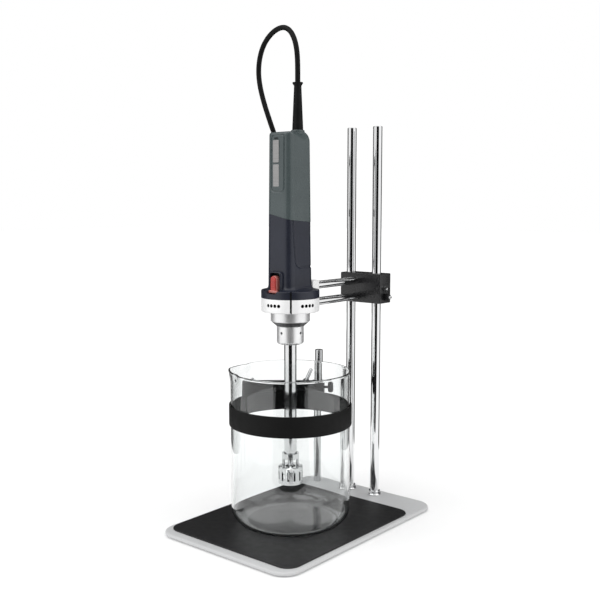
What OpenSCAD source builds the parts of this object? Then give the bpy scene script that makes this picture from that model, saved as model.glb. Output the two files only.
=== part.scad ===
// Laboratory homogenizer on a two-column stand, with a strapped beaker and a mains lead.
// Millimetres, +Z up, +Y to the back, origin under the middle of the base plate.

/* [Base] */
// Width of the base plate
plate_w = 250; // [242:1:262]
// Length of the base plate, front to back
plate_l = 358; // [350:1:400]
// Thickness of the base plate
plate_t = 6; // [5:0.5:10]
// Corner radius of the base plate
plate_corner_r = 28; // [10:1:40]
// Diameter of a foot pad
foot_d = 24; // [16:1:30]
// Height of the plate above the table
foot_stand = 1; // [0.5:0.5:4]
// Depth of a foot pad's recess in the plate
foot_recess = 1; // [0.5:0.5:2]
// Distance of a foot pad's centre from the plate's edges
foot_inset = 48; // [46:1:60]
// Width of the rubber mat
mat_w = 236; // [200:1:236]
// Length of the rubber mat
mat_l = 293; // [250:1:293]
// Thickness of the rubber mat
mat_t = 2; // [1:0.5:4]
// Corner radius of the rubber mat
mat_corner_r = 20; // [5:1:30]

/* [Columns] */
// Diameter of a column
column_d = 14.5; // [13:0.5:18]
// Height of the columns above the plate
column_h = 593; // [560:1:650]
// Distance between the two columns' axes
column_gap = 50; // [46:1:54]
// Distance of the columns' axes from the plate's back edge
column_back = 24; // [18:1:26]
// Outer diameter of a column collar
collar_d = 21; // [20:0.5:26]
// Height of a column collar
collar_h = 8; // [6:0.5:12]
// Diameter of the holder post
post_d = 13; // [12:0.5:15]
// Height of the holder post above the plate
post_h = 227.5; // [220:0.5:240]
// Distance of the holder post from the plate's left edge
post_edge = 33; // [28:1:38]
// Diameter of a base bolt
bolt_d = 8; // [6:0.5:9]
// Depth of a base bolt in its column
bolt_reach = 18; // [10:1:30]

/* [Clamp block] */
// Width of the clamp block across both columns
block_w = 78; // [74:1:90]
// Depth of the clamp block, front to back
block_l = 30; // [26:1:40]
// Height of the clamp block
block_h = 50; // [46:1:60]
// Height of the clamp block's middle above the table
block_z = 346; // [330:1:380]
// Distance from the columns to the tool's axis
reach = 181; // [176:1:186]
// Diameter of an arm
arm_d = 8; // [7:0.5:10]
// Distance between the two arms' axes
arm_gap = 25; // [24:0.5:27]
// Diameter of the clamp knob
knob_d = 11; // [9:0.5:12]
// Length of the clamp knob
knob_l = 9; // [6:0.5:14]
// Diameter of the pinch screw's head
pinch_d = 9; // [7:0.5:10]

/* [Motor housing] */
// Width of the body, seen from the front
body_w = 44; // [43:0.5:48]
// Depth of the body, front to back
body_d = 55; // [54:0.5:60]
// Height of the body above its flange
body_h = 227; // [220:1:250]
// Corner radius of the body
body_corner_r = 9; // [6:0.5:10]
// Radius of the body's top edges
top_edge_r = 8; // [4:0.5:10]
// Wall of the body
body_wall = 2.5; // [2:0.25:3]
// Thickness of the body's top
top_wall = 4; // [3:0.5:5]
// Height of the flange
flange_h = 11.5; // [10.5:0.5:16]
// Height of the lower housing above the flange, at the axis
lower_h = 105; // [103:1:115]
// Slope of the seam across the body, in degrees
seam_tilt = 14.6; // [5:0.2:16]
// Slope of the seam from front to back, in degrees
seam_dip = 2.9; // [0:0.1:4]

/* [Metal nose] */
// Outer diameter of the vented ring
ring_d = 85; // [84:0.5:90]
// Height of the vented ring
ring_h = 20; // [17.5:0.5:22]
// Bore of the vented ring
ring_bore = 62; // [61:0.5:64]
// Diameter of a vent hole
vent_d = 4.4; // [3:0.2:5]
// Diameter of the nose's step
step_d = 57.5; // [52:0.5:58.5]
// Height of the nose's step
step_h = 14; // [12:0.5:18]
// Height of the nose's cone
cone_h = 8; // [6:0.5:12]
// Diameter of the tube socket
socket_d = 39.5; // [34:0.5:42]
// Height of the tube socket
socket_h = 29; // [26:0.5:36]

/* [Dispersing tool] */
// Outer diameter of the stator tube
tube_d = 18.2; // [17.6:0.2:20]
// Wall of the stator tube
tube_wall = 1.5; // [1:0.1:1.5]
// Length of the tool below the socket
tool_len = 206; // [190:1:215]
// Diameter of the drive shaft
drive_d = 8; // [7:0.5:8.5]
// Outer diameter of the dispersing head
head_d = 36; // [34:0.5:40]
// Wall of the dispersing head
head_wall = 4; // [3:0.25:5]
// Height of the slotted ring of the head
head_h = 25; // [22:0.5:30]
// Height of the open cage above the slotted ring
cage_h = 12; // [8:0.5:16]
// Number of slots in the head
slot_count = 12; // [8:1:14]
// Width of a slot in the head
slot_w = 3; // [2:0.25:4]

/* [Beaker and holder] */
// Outer diameter of the beaker
beaker_d = 176; // [170:1:180]
// Height of the beaker
beaker_h = 225; // [215:1:235]
// Thickness of the glass
glass_wall = 2.5; // [2:0.25:4]
// Radius of the beaker's lower edge
base_edge_r = 12; // [8:0.5:16]
// Height of the strap's lower edge above the mat
strap_rise = 148; // [140:1:155]
// Height of the strap
strap_h = 31; // [25:1:34]
// Thickness of the strap
strap_t = 2.2; // [1.5:0.1:3]
// Length of the back bar
bar_len = 134; // [118:1:138]
// Height of the back bar
bar_h = 40; // [36:0.5:44]
// Thickness of the back bar
bar_t = 10; // [9:0.5:14]
// Turn of the back bar about the beaker, in degrees
holder_turn = 40; // [36:1:44]
// Diameter of the tension knob
tension_d = 17; // [14:0.5:20]
// Diameter of the boss head
boss_d = 26; // [25:0.5:30]
// Height of the boss head
boss_h = 20; // [18:0.5:24]
// Length of the boss lever
lever_len = 50; // [40:1:56]

/* [Controls and lead] */
// Width of the slide switch
switch_w = 16; // [12:0.5:17]
// Height of the slide switch
switch_h = 26.5; // [22:0.5:28]
// Travel of the slide switch
switch_travel = 4; // [3:0.5:6]
// Radius of the speed dial
dial_r = 7; // [6.5:0.25:7.5]
// Length of the strain relief above the body
relief_len = 69.25; // [40:0.25:72]
// Diameter of the strain relief at the body
relief_d = 16; // [14:0.5:18]
// Diameter of the mains lead
cord_d = 7.5; // [6:0.25:7.6]

/* [Hidden] */
$fn = 64;

// Clearances: run = turning or sliding fit, seat = fixed fit, free = moving parts side by side
run = 0.05;
seat = 0.02;
free = 0.3;
// Overshoot of a cut past the face it opens
cut = 1;

// Heights and places of the stand
plate_top = foot_stand + plate_t;
mat_top = plate_top + mat_t;
column_x = column_gap / 2;
column_y = plate_l / 2 - column_back;
column_r = column_d / 2;
column_edge = 0.8;
post_x = post_edge - plate_w / 2;
post_r = post_d / 2;
axis_y = column_y - reach;
bolt_head_d = bolt_d + 5;
bolt_head_h = 3.2;
bolt_sink = 3.5;

// Clamp block and arms
arm_r = arm_d / 2;
arm_high_z = block_z + arm_gap / 2;
arm_low_z = block_z - arm_gap / 2;
block_back = column_y + block_l / 2;
arm_screw_d = 5;
arm_screw_l = 6;
screw_d = 5;
pinch_h = 4;
pinch_z = block_z;
knob_z = block_z - 13;
block_side = block_w / 2;
screw_tip_x = column_x + column_r + free;
knob_tip = 3;

// Stack of the motor, from the ring that the lower arm enters
ring_r = ring_d / 2;
ring_bore_r = ring_bore / 2;
ring_drop = 8.75;
ring_z = arm_low_z - ring_drop;
ring_top = ring_z + ring_h;
flange_top = ring_top + flange_h;
body_top = flange_top + body_h;
seam_z = flange_top + lower_h;
face_y = axis_y - body_d / 2;
step_z = ring_z - step_h;
cone_z = step_z - cone_h;
socket_z = cone_z - socket_h;
head_z = socket_z - tool_len;
lip_t = 2;
lip_bore_r = step_d / 2 + 0.5;
nose_plate_t = 5;
nose_top = ring_z + lip_t + nose_plate_t;
vent_groups = [-82, -10, 62, 134, 206];
vent_pitch = 9;
vent_share = 0.55;
vent_z = ring_z + vent_share * ring_h;
ring_screw_r = (ring_r + ring_bore_r) / 2;
ring_screw_turns = [26, 170, 242, 314];
ring_screw_d = 4;
ring_screw_bite = 6;
ring_head_d = 7;
ring_head_h = 4;
bracket_w = 16;
bracket_t = 15.5;
bracket_top = arm_high_z + 8;
arm_bite = 7;
arm_blind = 3;

// Motor inside
front_bearing_d = 28;
front_bearing_w = 8;
rear_bearing_d = 22;
rear_bearing_w = 7;
shaft_r = 6;
shaft_top_r = 4;
shaft_low_r = 5;
cavity_w = body_w - 2 * body_wall;
cavity_d = body_d - 2 * body_wall;
cavity_r = body_corner_r - body_wall;
chamber_top = flange_top - 3;
fan_z = ring_top + 2;
fan_r = ring_bore_r - 3;
fan_h = chamber_top - fan_z - 1;
fan_blades = 9;
core_z = flange_top + 16;
core_h = 56;
core_w = cavity_w - 2 * free;
core_gap = 4.5;
core_d = cavity_d - 2 * core_gap;
core_corner_r = cavity_r;
armature_r = 13.3;
core_bore_r = armature_r + 0.7;
coil_h = 8;
coil_w = 17;
coil_d = 9;
commutator_z = core_z + core_h + 12;
commutator_h = 14;
commutator_r = 9;
brush_z = commutator_z + commutator_h / 2;
brush_w = 6;
holder_wall = 1;
brush_len = 13;
holder_in = commutator_r + 1.5;
holder_out = cavity_d / 2 - free;
web_t = 10;
web_z = seam_z + 9;
shaft_z = cone_z + 1;
shaft_step_z = step_z + 4;
shaft_end_z = web_z + rear_bearing_w;
coupling_r = 7;
coupling_low = 8;
coupling_high = 10;
nose_bore_r = coupling_r + 1;

// Dispersing tool
tube_r = tube_d / 2;
tube_bore_r = tube_r - tube_wall;
drive_r = drive_d / 2;
tube_top = socket_z + 24;
socket_screw_z = socket_z + 20;
socket_screw_d = 4;
socket_screw_sink = 1.5;
hub_z = head_z + head_h + cage_h;
hub_h = 8;
hub_lip = 1.5;
hub_r = tube_r + 3.5;
cage_post_r = 2;
cage_inset = 0.4;
cage_count = 4;
head_r = head_d / 2;
head_bore_r = head_r - head_wall;
head_disc_t = 4;
slot_low = 6;
slot_h = 13;
rotor_r = head_bore_r - 0.6;
rotor_low = 2;
rotor_h = 17;
rotor_blades = 6;
blade_t = 2.5;
bush_h = 14;
bush_low = 2;
bush_high = 40;

// Controls
slider_z = flange_top - 3;
slider_out = 8.5;
slot_side = switch_w / 2 + 1.5;
slot_z0 = slider_z - cut;
slot_z1 = slider_z + switch_h + switch_travel + cut;
guard_out = 6.5;
guard_side = slot_side + 2;
guard_top = slot_z1 + 2;
guard_corner_r = 5;
guide_side = switch_w / 2 + 3.5;
guide_t = 1.8;
guide_rise = 4;
wall_in_y = face_y + body_wall;
guide_y = wall_in_y + free;
rod_x = 9;
rod_w = 3;
rod_t = 1.8;
switch_block_z = web_z + web_t + 6;
switch_block_h = 20;
rod_top = switch_block_z - switch_travel - 1;
dial_y = face_y + 5.5;
dial_x = -2.8;
dial_z = body_top - 13;
dial_t = 2.5;
dial_pin_r = 1.5;
dial_pin_l = 10;
module_h = 21;
module_top = dial_z - 2;
label_w = 11;
label_h = 65;
label_t = 0.8;
label_sink = 0.5;
label_z = body_top - 79;

// Strain relief and mains lead
relief_x = 3;
relief_y = axis_y + 13.3;
relief_r = relief_d / 2;
relief_tip_r = 5.3;
relief_rim_r = 7.6;
relief_rim_h = 3;
relief_base_r = relief_r + 1.5;
relief_base_h = 3;
relief_top = body_top + relief_len;
cord_r = cord_d / 2;

// Hank of the put-away length: spiral in and out again in two layers, drawn in at the waist
hank_turns = 3.3;
hank_in = 24;
hank_step = 9.2;
hank_layer = 8.4;
hank_half = 60;
hank_waist = 14;
hank_tail = 46;
hank_turn = 40;
hank_mid_z = flange_top + 112;
hank_out = hank_in + hank_step * hank_turns / 2;
hank_far = 61 + hank_out;
hank_rings = 24;
run_share = 0.3;
tie_h = 12;
tie_t = 2;
plug_w = 34;
plug_t = 24;
plug_h = 36;
plug_corner_r = 8;
plug_neck_r = 6.5;
plug_neck_h = 8;
plug_pin_d = 4.8;
plug_pin_l = 19;
plug_pin_bite = 10;
plug_pin_gap = 19;

// Points of the lead's arch, chosen by hand, from the strain relief to above the hank
arch = [[2, -12, 684], [-1, -11, 702], [-6.5, -10, 716], [-15, -9, 727], [-27, -8, 733], [-40, -8, 732],
    [-54, -8, 725], [-66, -8, 713], [-74, -8, 696], [-77, -8, 676], [-75, -8, 657], [-69, -8, 636],
    [-60.5, -8.4, 615], [-54, -6.8, 597], [-50.2, -2, 580], [-47.2, 5, 564], [-45, 12.3, 551]];

// Holder, measured in a frame turned about the beaker
strap_z = mat_top + strap_rise;
strap_in_r = beaker_d / 2 + free;
strap_r = strap_in_r + strap_t;
bar_rise = 14.5;
bar_top = strap_z + strap_h + bar_rise;
bar_z = bar_top - bar_h;
saddle = 3;
bar_in = strap_r - saddle;
bar_out = bar_in + bar_t;
bar_mid = (bar_in + bar_out) / 2;
bar_shift = -15;
bar_left = bar_shift - bar_len / 2;
bar_right = bar_shift + bar_len / 2;
rivet_r = 2;
rivet_gap = 16;
rivet_head_r = 4;
rivet_head_h = 1.5;
rivet_z = (bar_z + strap_z + strap_h) / 2;
pin_r = 2.5;
pin_inset = 20;
pin_stand = 4;
tension_drop = 10;
tension_stem_r = 2;
tension_bite = 20;
tension_stand = 6;
tension_t = 9;
boss_r = boss_d / 2;
boss_neck_w = 16;
boss_neck_l = 20;
boss_neck_h = 16;
holder_arm_w = 12;
holder_arm_h = 14;
holder_arm_lift = 1.5;
boss_z = bar_z + holder_arm_lift + holder_arm_h / 2;
lever_stem_r = 3;
lever_hub_r = 5;
lever_hub_l = 8;
lever_gap = 11;
lever_rise = 5;
lever_r = 3;
lever_tilt = 52;
rim_bead_r = 1.7;
spout_in = 15;
spout_reach = 4.5;
spout_h = 14;
spout_turn = 205;

// Shared shapes

module at_axis() {
    translate([0, axis_y, 0]) children();
}

module at_holder() {
    at_axis() rotate([0, 0, holder_turn]) children();
}

module rounded_rect(w, l, r) {
    square([w - 2 * r, l], center = true);
    square([w, l - 2 * r], center = true);
    for (x = [-1, 1], y = [-1, 1])
        translate([x * (w / 2 - r), y * (l / 2 - r)]) circle(r);
}

module slab(w, l, h, r) {
    linear_extrude(h) rounded_rect(w, l, r);
}

module tube(r_out, r_in, h) {
    difference() {
        cylinder(r = r_out, h = h);
        translate([0, 0, -cut]) cylinder(r = r_in, h = h + 2 * cut);
    }
}

module at_columns() {
    for (x = [-column_x, column_x])
        translate([x, column_y, 0]) children();
}

module at_bolts() {
    at_columns() children();
    translate([post_x, column_y, 0]) children();
}

module at_feet() {
    for (x = [-1, 1], y = [-1, 1])
        translate([x * (plate_w / 2 - foot_inset), y * (plate_l / 2 - foot_inset), 0]) children();
}

// Base plate and columns

module base_plate() {
    color("gainsboro") difference() {
        translate([0, 0, foot_stand]) slab(plate_w, plate_l, plate_t, plate_corner_r);
        at_feet() cylinder(d = foot_d + 2 * run, h = foot_stand + foot_recess);
        at_bolts() {
            cylinder(d = bolt_d + 2 * seat, h = plate_top + cut);
            cylinder(d = bolt_head_d + 1, h = foot_stand + bolt_sink);
        }
    }
}

module rubber_mat() {
    color("#1c1c1e") at_axis() translate([0, 0, plate_top]) slab(mat_w, mat_l, mat_t, mat_corner_r);
}

module foot_pads() {
    color("#202020") at_feet() cylinder(d = foot_d, h = foot_stand + foot_recess);
}

module upright(r, h) {
    translate([0, 0, plate_top]) difference() {
        union() {
            cylinder(r = r, h = h - column_edge);
            translate([0, 0, h - column_edge]) cylinder(r1 = r, r2 = r - column_edge, h = column_edge);
        }
        translate([0, 0, -cut]) cylinder(d = bolt_d + 2 * seat, h = bolt_reach + 1 + cut);
    }
}

module column_left() {
    color("silver") translate([-column_x, column_y, 0]) upright(column_r, column_h);
}

module column_right() {
    color("silver") translate([column_x, column_y, 0]) upright(column_r, column_h);
}

module holder_post() {
    color("silver") translate([post_x, column_y, 0]) upright(post_r, post_h);
}

module base_bolts() {
    color("dimgray") at_bolts() {
        translate([0, 0, foot_stand + bolt_sink - bolt_head_h])
            cylinder(d = bolt_head_d, h = bolt_head_h);
        translate([0, 0, foot_stand + bolt_sink - bolt_head_h])
            cylinder(d = bolt_d, h = plate_top + bolt_reach - foot_stand - bolt_sink + bolt_head_h);
    }
}

module column_collars() {
    color("silver") at_columns() difference() {
        translate([0, 0, plate_top]) union() {
            cylinder(d1 = collar_d, d2 = collar_d - 2, h = collar_h / 3);
            cylinder(d = collar_d - 2, h = collar_h);
        }
        translate([0, 0, plate_top - cut]) cylinder(r = column_r + seat, h = collar_h + 2 * cut);
    }
}

// Clamp block and arms

module along_x(x, z) {
    translate([x, column_y, z]) rotate([0, 90, 0]) children();
}

module along_y(y, z) {
    translate([0, y, z]) rotate([-90, 0, 0]) children();
}

module clamp_block() {
    color("#232325") difference() {
        translate([-block_side, column_y - block_l / 2, block_z - block_h / 2])
            cube([block_w, block_l, block_h]);
        at_columns() cylinder(r = column_r + run, h = block_z + block_h);
        for (z = [arm_high_z, arm_low_z])
            along_y(column_y - block_l / 2 - cut, z) cylinder(r = arm_r + seat, h = block_l + 2 * cut);
        translate([0, column_y, arm_high_z]) cylinder(d = arm_screw_d + 2 * seat, h = block_h);
        translate([0, column_y, arm_low_z - block_h]) cylinder(d = arm_screw_d + 2 * seat, h = block_h);
        for (z = [pinch_z, knob_z])
            along_x(column_x, z) cylinder(d = screw_d + 2 * run, h = block_w);
    }
}

module arm_upper() {
    front = axis_y + ring_r + arm_blind;
    color("silver") along_y(front, arm_high_z) cylinder(r = arm_r, h = block_back - front);
}

module arm_lower() {
    front = axis_y + ring_r - arm_bite;
    color("silver") along_y(front, arm_low_z) cylinder(r = arm_r, h = block_back - front);
}

module arm_screws() {
    color("#2a2a2a") {
        translate([0, column_y, arm_high_z + arm_r + seat]) cylinder(d = arm_screw_d, h = arm_screw_l);
        translate([0, column_y, arm_low_z - arm_r - seat - arm_screw_l])
            cylinder(d = arm_screw_d, h = arm_screw_l);
    }
}

module pinch_screw() {
    socket_d = pinch_d / 2;
    socket_depth = pinch_h / 2;
    color("silver") difference() {
        union() {
            along_x(screw_tip_x, pinch_z) cylinder(d = screw_d, h = block_side + free - screw_tip_x);
            along_x(block_side + free, pinch_z) cylinder(d = pinch_d, h = pinch_h);
        }
        along_x(block_side + free + pinch_h - socket_depth, pinch_z)
            cylinder(d = socket_d, h = socket_depth + cut, $fn = 6);
    }
}

module clamp_stem() {
    color("silver") along_x(screw_tip_x, knob_z)
        cylinder(d = screw_d, h = block_side + free + knob_l + knob_tip - screw_tip_x);
}

module clamp_knob() {
    color("#202022") along_x(block_side + free, knob_z) tube(knob_d / 2, screw_d / 2 + seat, knob_l);
}

// Bracket, ring and nose

module rear_bracket() {
    color("gainsboro") difference() {
        translate([-bracket_w / 2, axis_y + ring_r - cut, ring_z])
            cube([bracket_w, bracket_t + cut, bracket_top - ring_z]);
        at_axis() translate([0, 0, ring_z - cut]) cylinder(r = ring_r + seat, h = bracket_top);
        along_y(axis_y, arm_low_z) cylinder(r = arm_r + seat, h = ring_r + bracket_t + cut);
        along_y(axis_y + ring_r + arm_blind, arm_high_z) cylinder(r = arm_r + seat, h = bracket_t);
    }
}

module at_ring_screws() {
    at_axis() for (a = ring_screw_turns)
        rotate([0, 0, a]) translate([ring_screw_r, 0, 0]) children();
}

module vent_ring() {
    color("#d9dadb") difference() {
        at_axis() translate([0, 0, ring_z]) tube(ring_r, lip_bore_r, ring_h);
        at_axis() translate([0, 0, ring_z + lip_t]) cylinder(r = ring_bore_r, h = ring_h);
        at_axis() for (g = vent_groups, i = [-1.5:1:1.5])
            translate([0, 0, vent_z]) rotate([0, 90, g + i * vent_pitch])
                translate([0, 0, ring_bore_r - cut]) cylinder(d = vent_d, h = ring_r);
        along_y(axis_y + ring_bore_r - cut, arm_low_z) cylinder(r = arm_r + seat, h = ring_r);
        at_ring_screws() {
            translate([0, 0, ring_z - cut]) cylinder(d = ring_screw_d + 2 * run, h = ring_h + 2 * cut);
            translate([0, 0, ring_z - cut]) cylinder(d = ring_head_d + 2 * run, h = ring_head_h + cut);
        }
    }
}

module ring_screws() {
    color("dimgray") at_ring_screws() {
        translate([0, 0, ring_z]) cylinder(d = ring_head_d, h = ring_head_h);
        translate([0, 0, ring_z]) cylinder(d = ring_screw_d, h = ring_h + ring_screw_bite);
    }
}

module nose_cone() {
    bearing_z = nose_top - front_bearing_w;
    color("#d9dadb") at_axis() difference() {
        union() {
            translate([0, 0, ring_z + lip_t]) cylinder(r = ring_bore_r - run, h = nose_plate_t);
            translate([0, 0, step_z]) cylinder(d = step_d, h = step_h + lip_t);
            translate([0, 0, cone_z]) cylinder(d1 = socket_d, d2 = step_d, h = cone_h);
        }
        translate([0, 0, cone_z - cut]) cylinder(r = nose_bore_r, h = nose_top);
        translate([0, 0, bearing_z])
            cylinder(d = front_bearing_d + 2 * seat, h = front_bearing_w + cut);
    }
}

module at_socket_screws() {
    at_axis() for (a = [0:90:270])
        translate([0, 0, socket_screw_z]) rotate([0, 90, a])
            translate([0, 0, tube_r + seat]) children();
}

module tube_socket() {
    color("#d9dadb") difference() {
        at_axis() translate([0, 0, socket_z]) tube(socket_d / 2, tube_r + seat, socket_h);
        at_socket_screws() translate([0, 0, -2 * cut])
            cylinder(d = socket_screw_d + 2 * seat, h = socket_d);
    }
}

module socket_screws() {
    color("#3a3a3a") at_socket_screws()
        cylinder(d = socket_screw_d, h = socket_d / 2 - tube_r - seat - socket_screw_sink);
}

// Dispersing tool

module stator_tube() {
    bottom = hub_z + hub_lip;
    color("silver") at_axis() translate([0, 0, bottom]) tube(tube_r, tube_bore_r, tube_top - bottom);
}

module stator_head() {
    color("silver") at_axis() difference() {
        union() {
            translate([0, 0, head_z]) cylinder(r = head_r, h = head_h);
            for (i = [1:cage_count])
                rotate([0, 0, holder_turn + i * 360 / cage_count])
                    translate([hub_r - cage_post_r - cage_inset, 0, head_z + head_h - 1])
                        cylinder(r = cage_post_r, h = cage_h + 2);
            translate([0, 0, hub_z]) cylinder(r = hub_r, h = hub_h);
        }
        translate([0, 0, head_z - cut]) cylinder(r = head_bore_r, h = head_h - head_disc_t + cut);
        translate([0, 0, head_z]) cylinder(r = tube_bore_r, h = head_h + cage_h + hub_h);
        translate([0, 0, hub_z + hub_lip]) cylinder(r = tube_r + seat, h = hub_h);
        for (i = [1:slot_count])
            rotate([0, 0, i * 360 / slot_count])
                translate([0, -slot_w / 2, head_z + slot_low]) cube([head_d, slot_w, slot_h]);
    }
}

module shaft_bushes() {
    bottom = hub_z + hub_lip;
    color("white") at_axis() for (z = [bottom + bush_low, tube_top - bush_high])
        translate([0, 0, z]) tube(tube_bore_r - seat, drive_r + run, bush_h);
}

module drive_shaft() {
    bottom = head_z + rotor_low;
    color("silver") at_axis() translate([0, 0, bottom]) cylinder(r = drive_r, h = cone_z - bottom);
}

module rotor_head() {
    hub = drive_r + 3;
    color("silver") at_axis() translate([0, 0, head_z + rotor_low]) difference() {
        union() {
            cylinder(r = hub, h = rotor_h);
            intersection() {
                cylinder(r = rotor_r, h = rotor_h);
                for (i = [1:rotor_blades])
                    rotate([0, 0, i * 360 / rotor_blades])
                        translate([0, -blade_t / 2, 0]) cube([head_d, blade_t, rotor_h]);
            }
        }
        translate([0, 0, -cut]) cylinder(r = drive_r + seat, h = rotor_h + 2 * cut);
    }
}

// Motor

module shaft_coupling() {
    color("gray") at_axis() difference() {
        translate([0, 0, cone_z - coupling_low])
            cylinder(r = coupling_r, h = coupling_low + coupling_high);
        translate([0, 0, cone_z - coupling_low - cut])
            cylinder(r = drive_r + seat, h = coupling_low + 2 * cut);
        translate([0, 0, shaft_z]) cylinder(r = shaft_low_r + seat, h = coupling_high);
    }
}

module armature_shaft() {
    color("silver") at_axis() {
        translate([0, 0, shaft_z]) cylinder(r = shaft_low_r, h = shaft_step_z - shaft_z);
        translate([0, 0, shaft_step_z]) cylinder(r = shaft_r, h = web_z - 2 - shaft_step_z);
        translate([0, 0, web_z - 2]) cylinder(r = shaft_top_r, h = shaft_end_z - web_z + 2);
    }
}

module armature_core() {
    color("#77716a") at_axis() translate([0, 0, core_z]) tube(armature_r, shaft_r + seat, core_h);
}

module commutator() {
    color("#b87333") at_axis() translate([0, 0, commutator_z])
        tube(commutator_r, shaft_r + seat, commutator_h);
}

module cooling_fan() {
    fan_disc = 1.5;
    fan_blade_t = 2;
    hub = shaft_r + 4;
    color("#30343a") at_axis() translate([0, 0, fan_z]) difference() {
        union() {
            cylinder(r = fan_r, h = fan_disc);
            cylinder(r = hub, h = fan_h);
            for (i = [1:fan_blades])
                rotate([0, 0, i * 360 / fan_blades])
                    translate([hub - 1, -fan_blade_t / 2, 0]) cube([fan_r - hub, fan_blade_t, fan_h]);
        }
        translate([0, 0, -cut]) cylinder(r = shaft_r + seat, h = fan_h + 2 * cut);
    }
}

module front_bearing() {
    color("silver") at_axis() translate([0, 0, nose_top - front_bearing_w])
        tube(front_bearing_d / 2, shaft_r + run, front_bearing_w);
}

module rear_bearing() {
    color("silver") at_axis() translate([0, 0, web_z])
        tube(rear_bearing_d / 2, shaft_top_r + run, rear_bearing_w);
}

module field_core() {
    color("#6d6860") at_axis() translate([0, 0, core_z]) difference() {
        slab(core_w, core_d, core_h, core_corner_r);
        translate([0, 0, -cut]) cylinder(r = core_bore_r, h = core_h + 2 * cut);
    }
}

module field_coils() {
    color("#a8542a") at_axis() for (z = [core_z - coil_h, core_z + core_h], y = [-1, 1])
        translate([0, y * (core_d - coil_d) / 2, z]) slab(coil_w, coil_d, coil_h, coil_d / 3);
}

module at_brushes() {
    at_axis() for (a = [90, 270])
        rotate([0, 0, a]) translate([0, 0, brush_z]) children();
}

module brush_holders() {
    outer_w = brush_w + 2 * holder_wall;
    inner_w = brush_w + 2 * seat;
    color("#b5a642") at_brushes() difference() {
        translate([holder_in, -outer_w / 2, -outer_w / 2])
            cube([holder_out - holder_in, outer_w, outer_w]);
        translate([holder_in - cut, -inner_w / 2, -inner_w / 2])
            cube([holder_out - holder_in + 2 * cut, inner_w, inner_w]);
    }
}

module carbon_brushes() {
    color("#2b2b2b") at_brushes() translate([commutator_r + free, -brush_w / 2, -brush_w / 2])
        cube([brush_len, brush_w, brush_w]);
}

// Housings

module above_seam() {
    big = body_d * 4;
    at_axis() translate([0, 0, seam_z]) rotate([-seam_dip, seam_tilt, 0])
        translate([-big / 2, -big / 2, 0]) cube(big);
}

module round_top(w, l) {
    // Upright slab whose two upper edges across the width are round
    rotate([90, 0, 90]) translate([0, 0, -w / 2]) linear_extrude(w) {
        translate([-l / 2, 0]) square([l, body_top - top_edge_r]);
        translate([-l / 2 + top_edge_r, 0]) square([l - 2 * top_edge_r, body_top]);
        for (x = [-1, 1])
            translate([x * (l / 2 - top_edge_r), body_top - top_edge_r]) circle(top_edge_r);
    }
}

module body_outside() {
    at_axis() intersection() {
        translate([0, 0, chamber_top]) slab(body_w, body_d, body_h + flange_h, body_corner_r);
        round_top(body_w, body_d);
        rotate([0, 0, 90]) round_top(body_d, body_w);
    }
}

module body_cavity(z0, z1) {
    at_axis() translate([0, 0, z0]) slab(cavity_w, cavity_d, z1 - z0, cavity_r);
}

module switch_slot() {
    depth = ring_r - body_d / 2 + body_wall + 2 * cut;
    translate([-slot_side, wall_in_y + cut - depth, slot_z0])
        cube([2 * slot_side, depth, slot_z1 - slot_z0]);
}

module switch_guard() {
    // Raised block round the switch, with round upper corners
    foot_z = flange_top - cut;
    tall = guard_top - foot_z;
    translate([0, wall_in_y, foot_z]) rotate([90, 0, 0]) linear_extrude(guard_out + body_wall) {
        translate([-guard_side, 0]) square([2 * guard_side, tall - guard_corner_r]);
        translate([-guard_side + guard_corner_r, 0]) square([2 * (guard_side - guard_corner_r), tall]);
        for (x = [-1, 1])
            translate([x * (guard_side - guard_corner_r), tall - guard_corner_r]) circle(guard_corner_r);
    }
}

module lower_housing() {
    shoulder_h = 8;
    shoulder_r = body_w / 2 + 6;
    color("#2b2f3e") difference() {
        union() {
            at_axis() translate([0, 0, ring_top]) cylinder(r = ring_r, h = flange_h - 1);
            at_axis() translate([0, 0, flange_top - 1]) cylinder(r1 = ring_r, r2 = ring_r - 1, h = 1);
            at_axis() translate([0, 0, flange_top])
                cylinder(r1 = ring_r - 1, r2 = shoulder_r, h = shoulder_h);
            difference() {
                body_outside();
                above_seam();
            }
            switch_guard();
        }
        at_axis() translate([0, 0, ring_top - cut])
            cylinder(r = ring_bore_r, h = chamber_top - ring_top + cut);
        body_cavity(chamber_top - cut, body_top - top_wall);
        switch_slot();
        at_ring_screws() translate([0, 0, ring_top - cut])
            cylinder(d = ring_screw_d + 2 * run, h = ring_screw_bite + cut + seat);
    }
}

module label_pocket(depth) {
    translate([dial_x, face_y + depth, label_z]) rotate([90, 0, 0])
        translate([0, label_h / 2, 0]) slab(label_w, label_h, depth + cut, label_w / 3);
}

module upper_housing() {
    rod_hole = 1;
    color("#5a6663") difference() {
        intersection() {
            body_outside();
            above_seam();
        }
        body_cavity(seam_z - body_d, web_z);
        body_cavity(web_z + web_t, body_top - top_wall);
        at_axis() translate([0, 0, web_z - cut])
            cylinder(d = rear_bearing_d + 2 * seat, h = rear_bearing_w + cut);
        at_axis() translate([0, 0, web_z]) cylinder(r = shaft_top_r + 1, h = web_t + cut);
        translate([rod_x - rod_hole, guide_y + guide_t - rod_hole, web_z - cut])
            cube([rod_w + 2 * rod_hole, rod_t + 2 * rod_hole, web_t + 2 * cut]);
        translate([relief_x, relief_y, body_top - top_wall - cut])
            cylinder(r = relief_r + seat, h = top_wall + 2 * cut);
        translate([dial_x, dial_y, dial_z - 0.5]) cylinder(r = dial_r + free, h = dial_t + 1);
        label_pocket(label_sink);
    }
}

module label_plate() {
    color("#8d9692") translate([dial_x, face_y + label_sink, label_z]) rotate([90, 0, 0])
        translate([0, label_h / 2, 0])
            slab(label_w - 2 * seat, label_h - 2 * seat, label_t, label_w / 3);
}

// Controls

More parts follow.
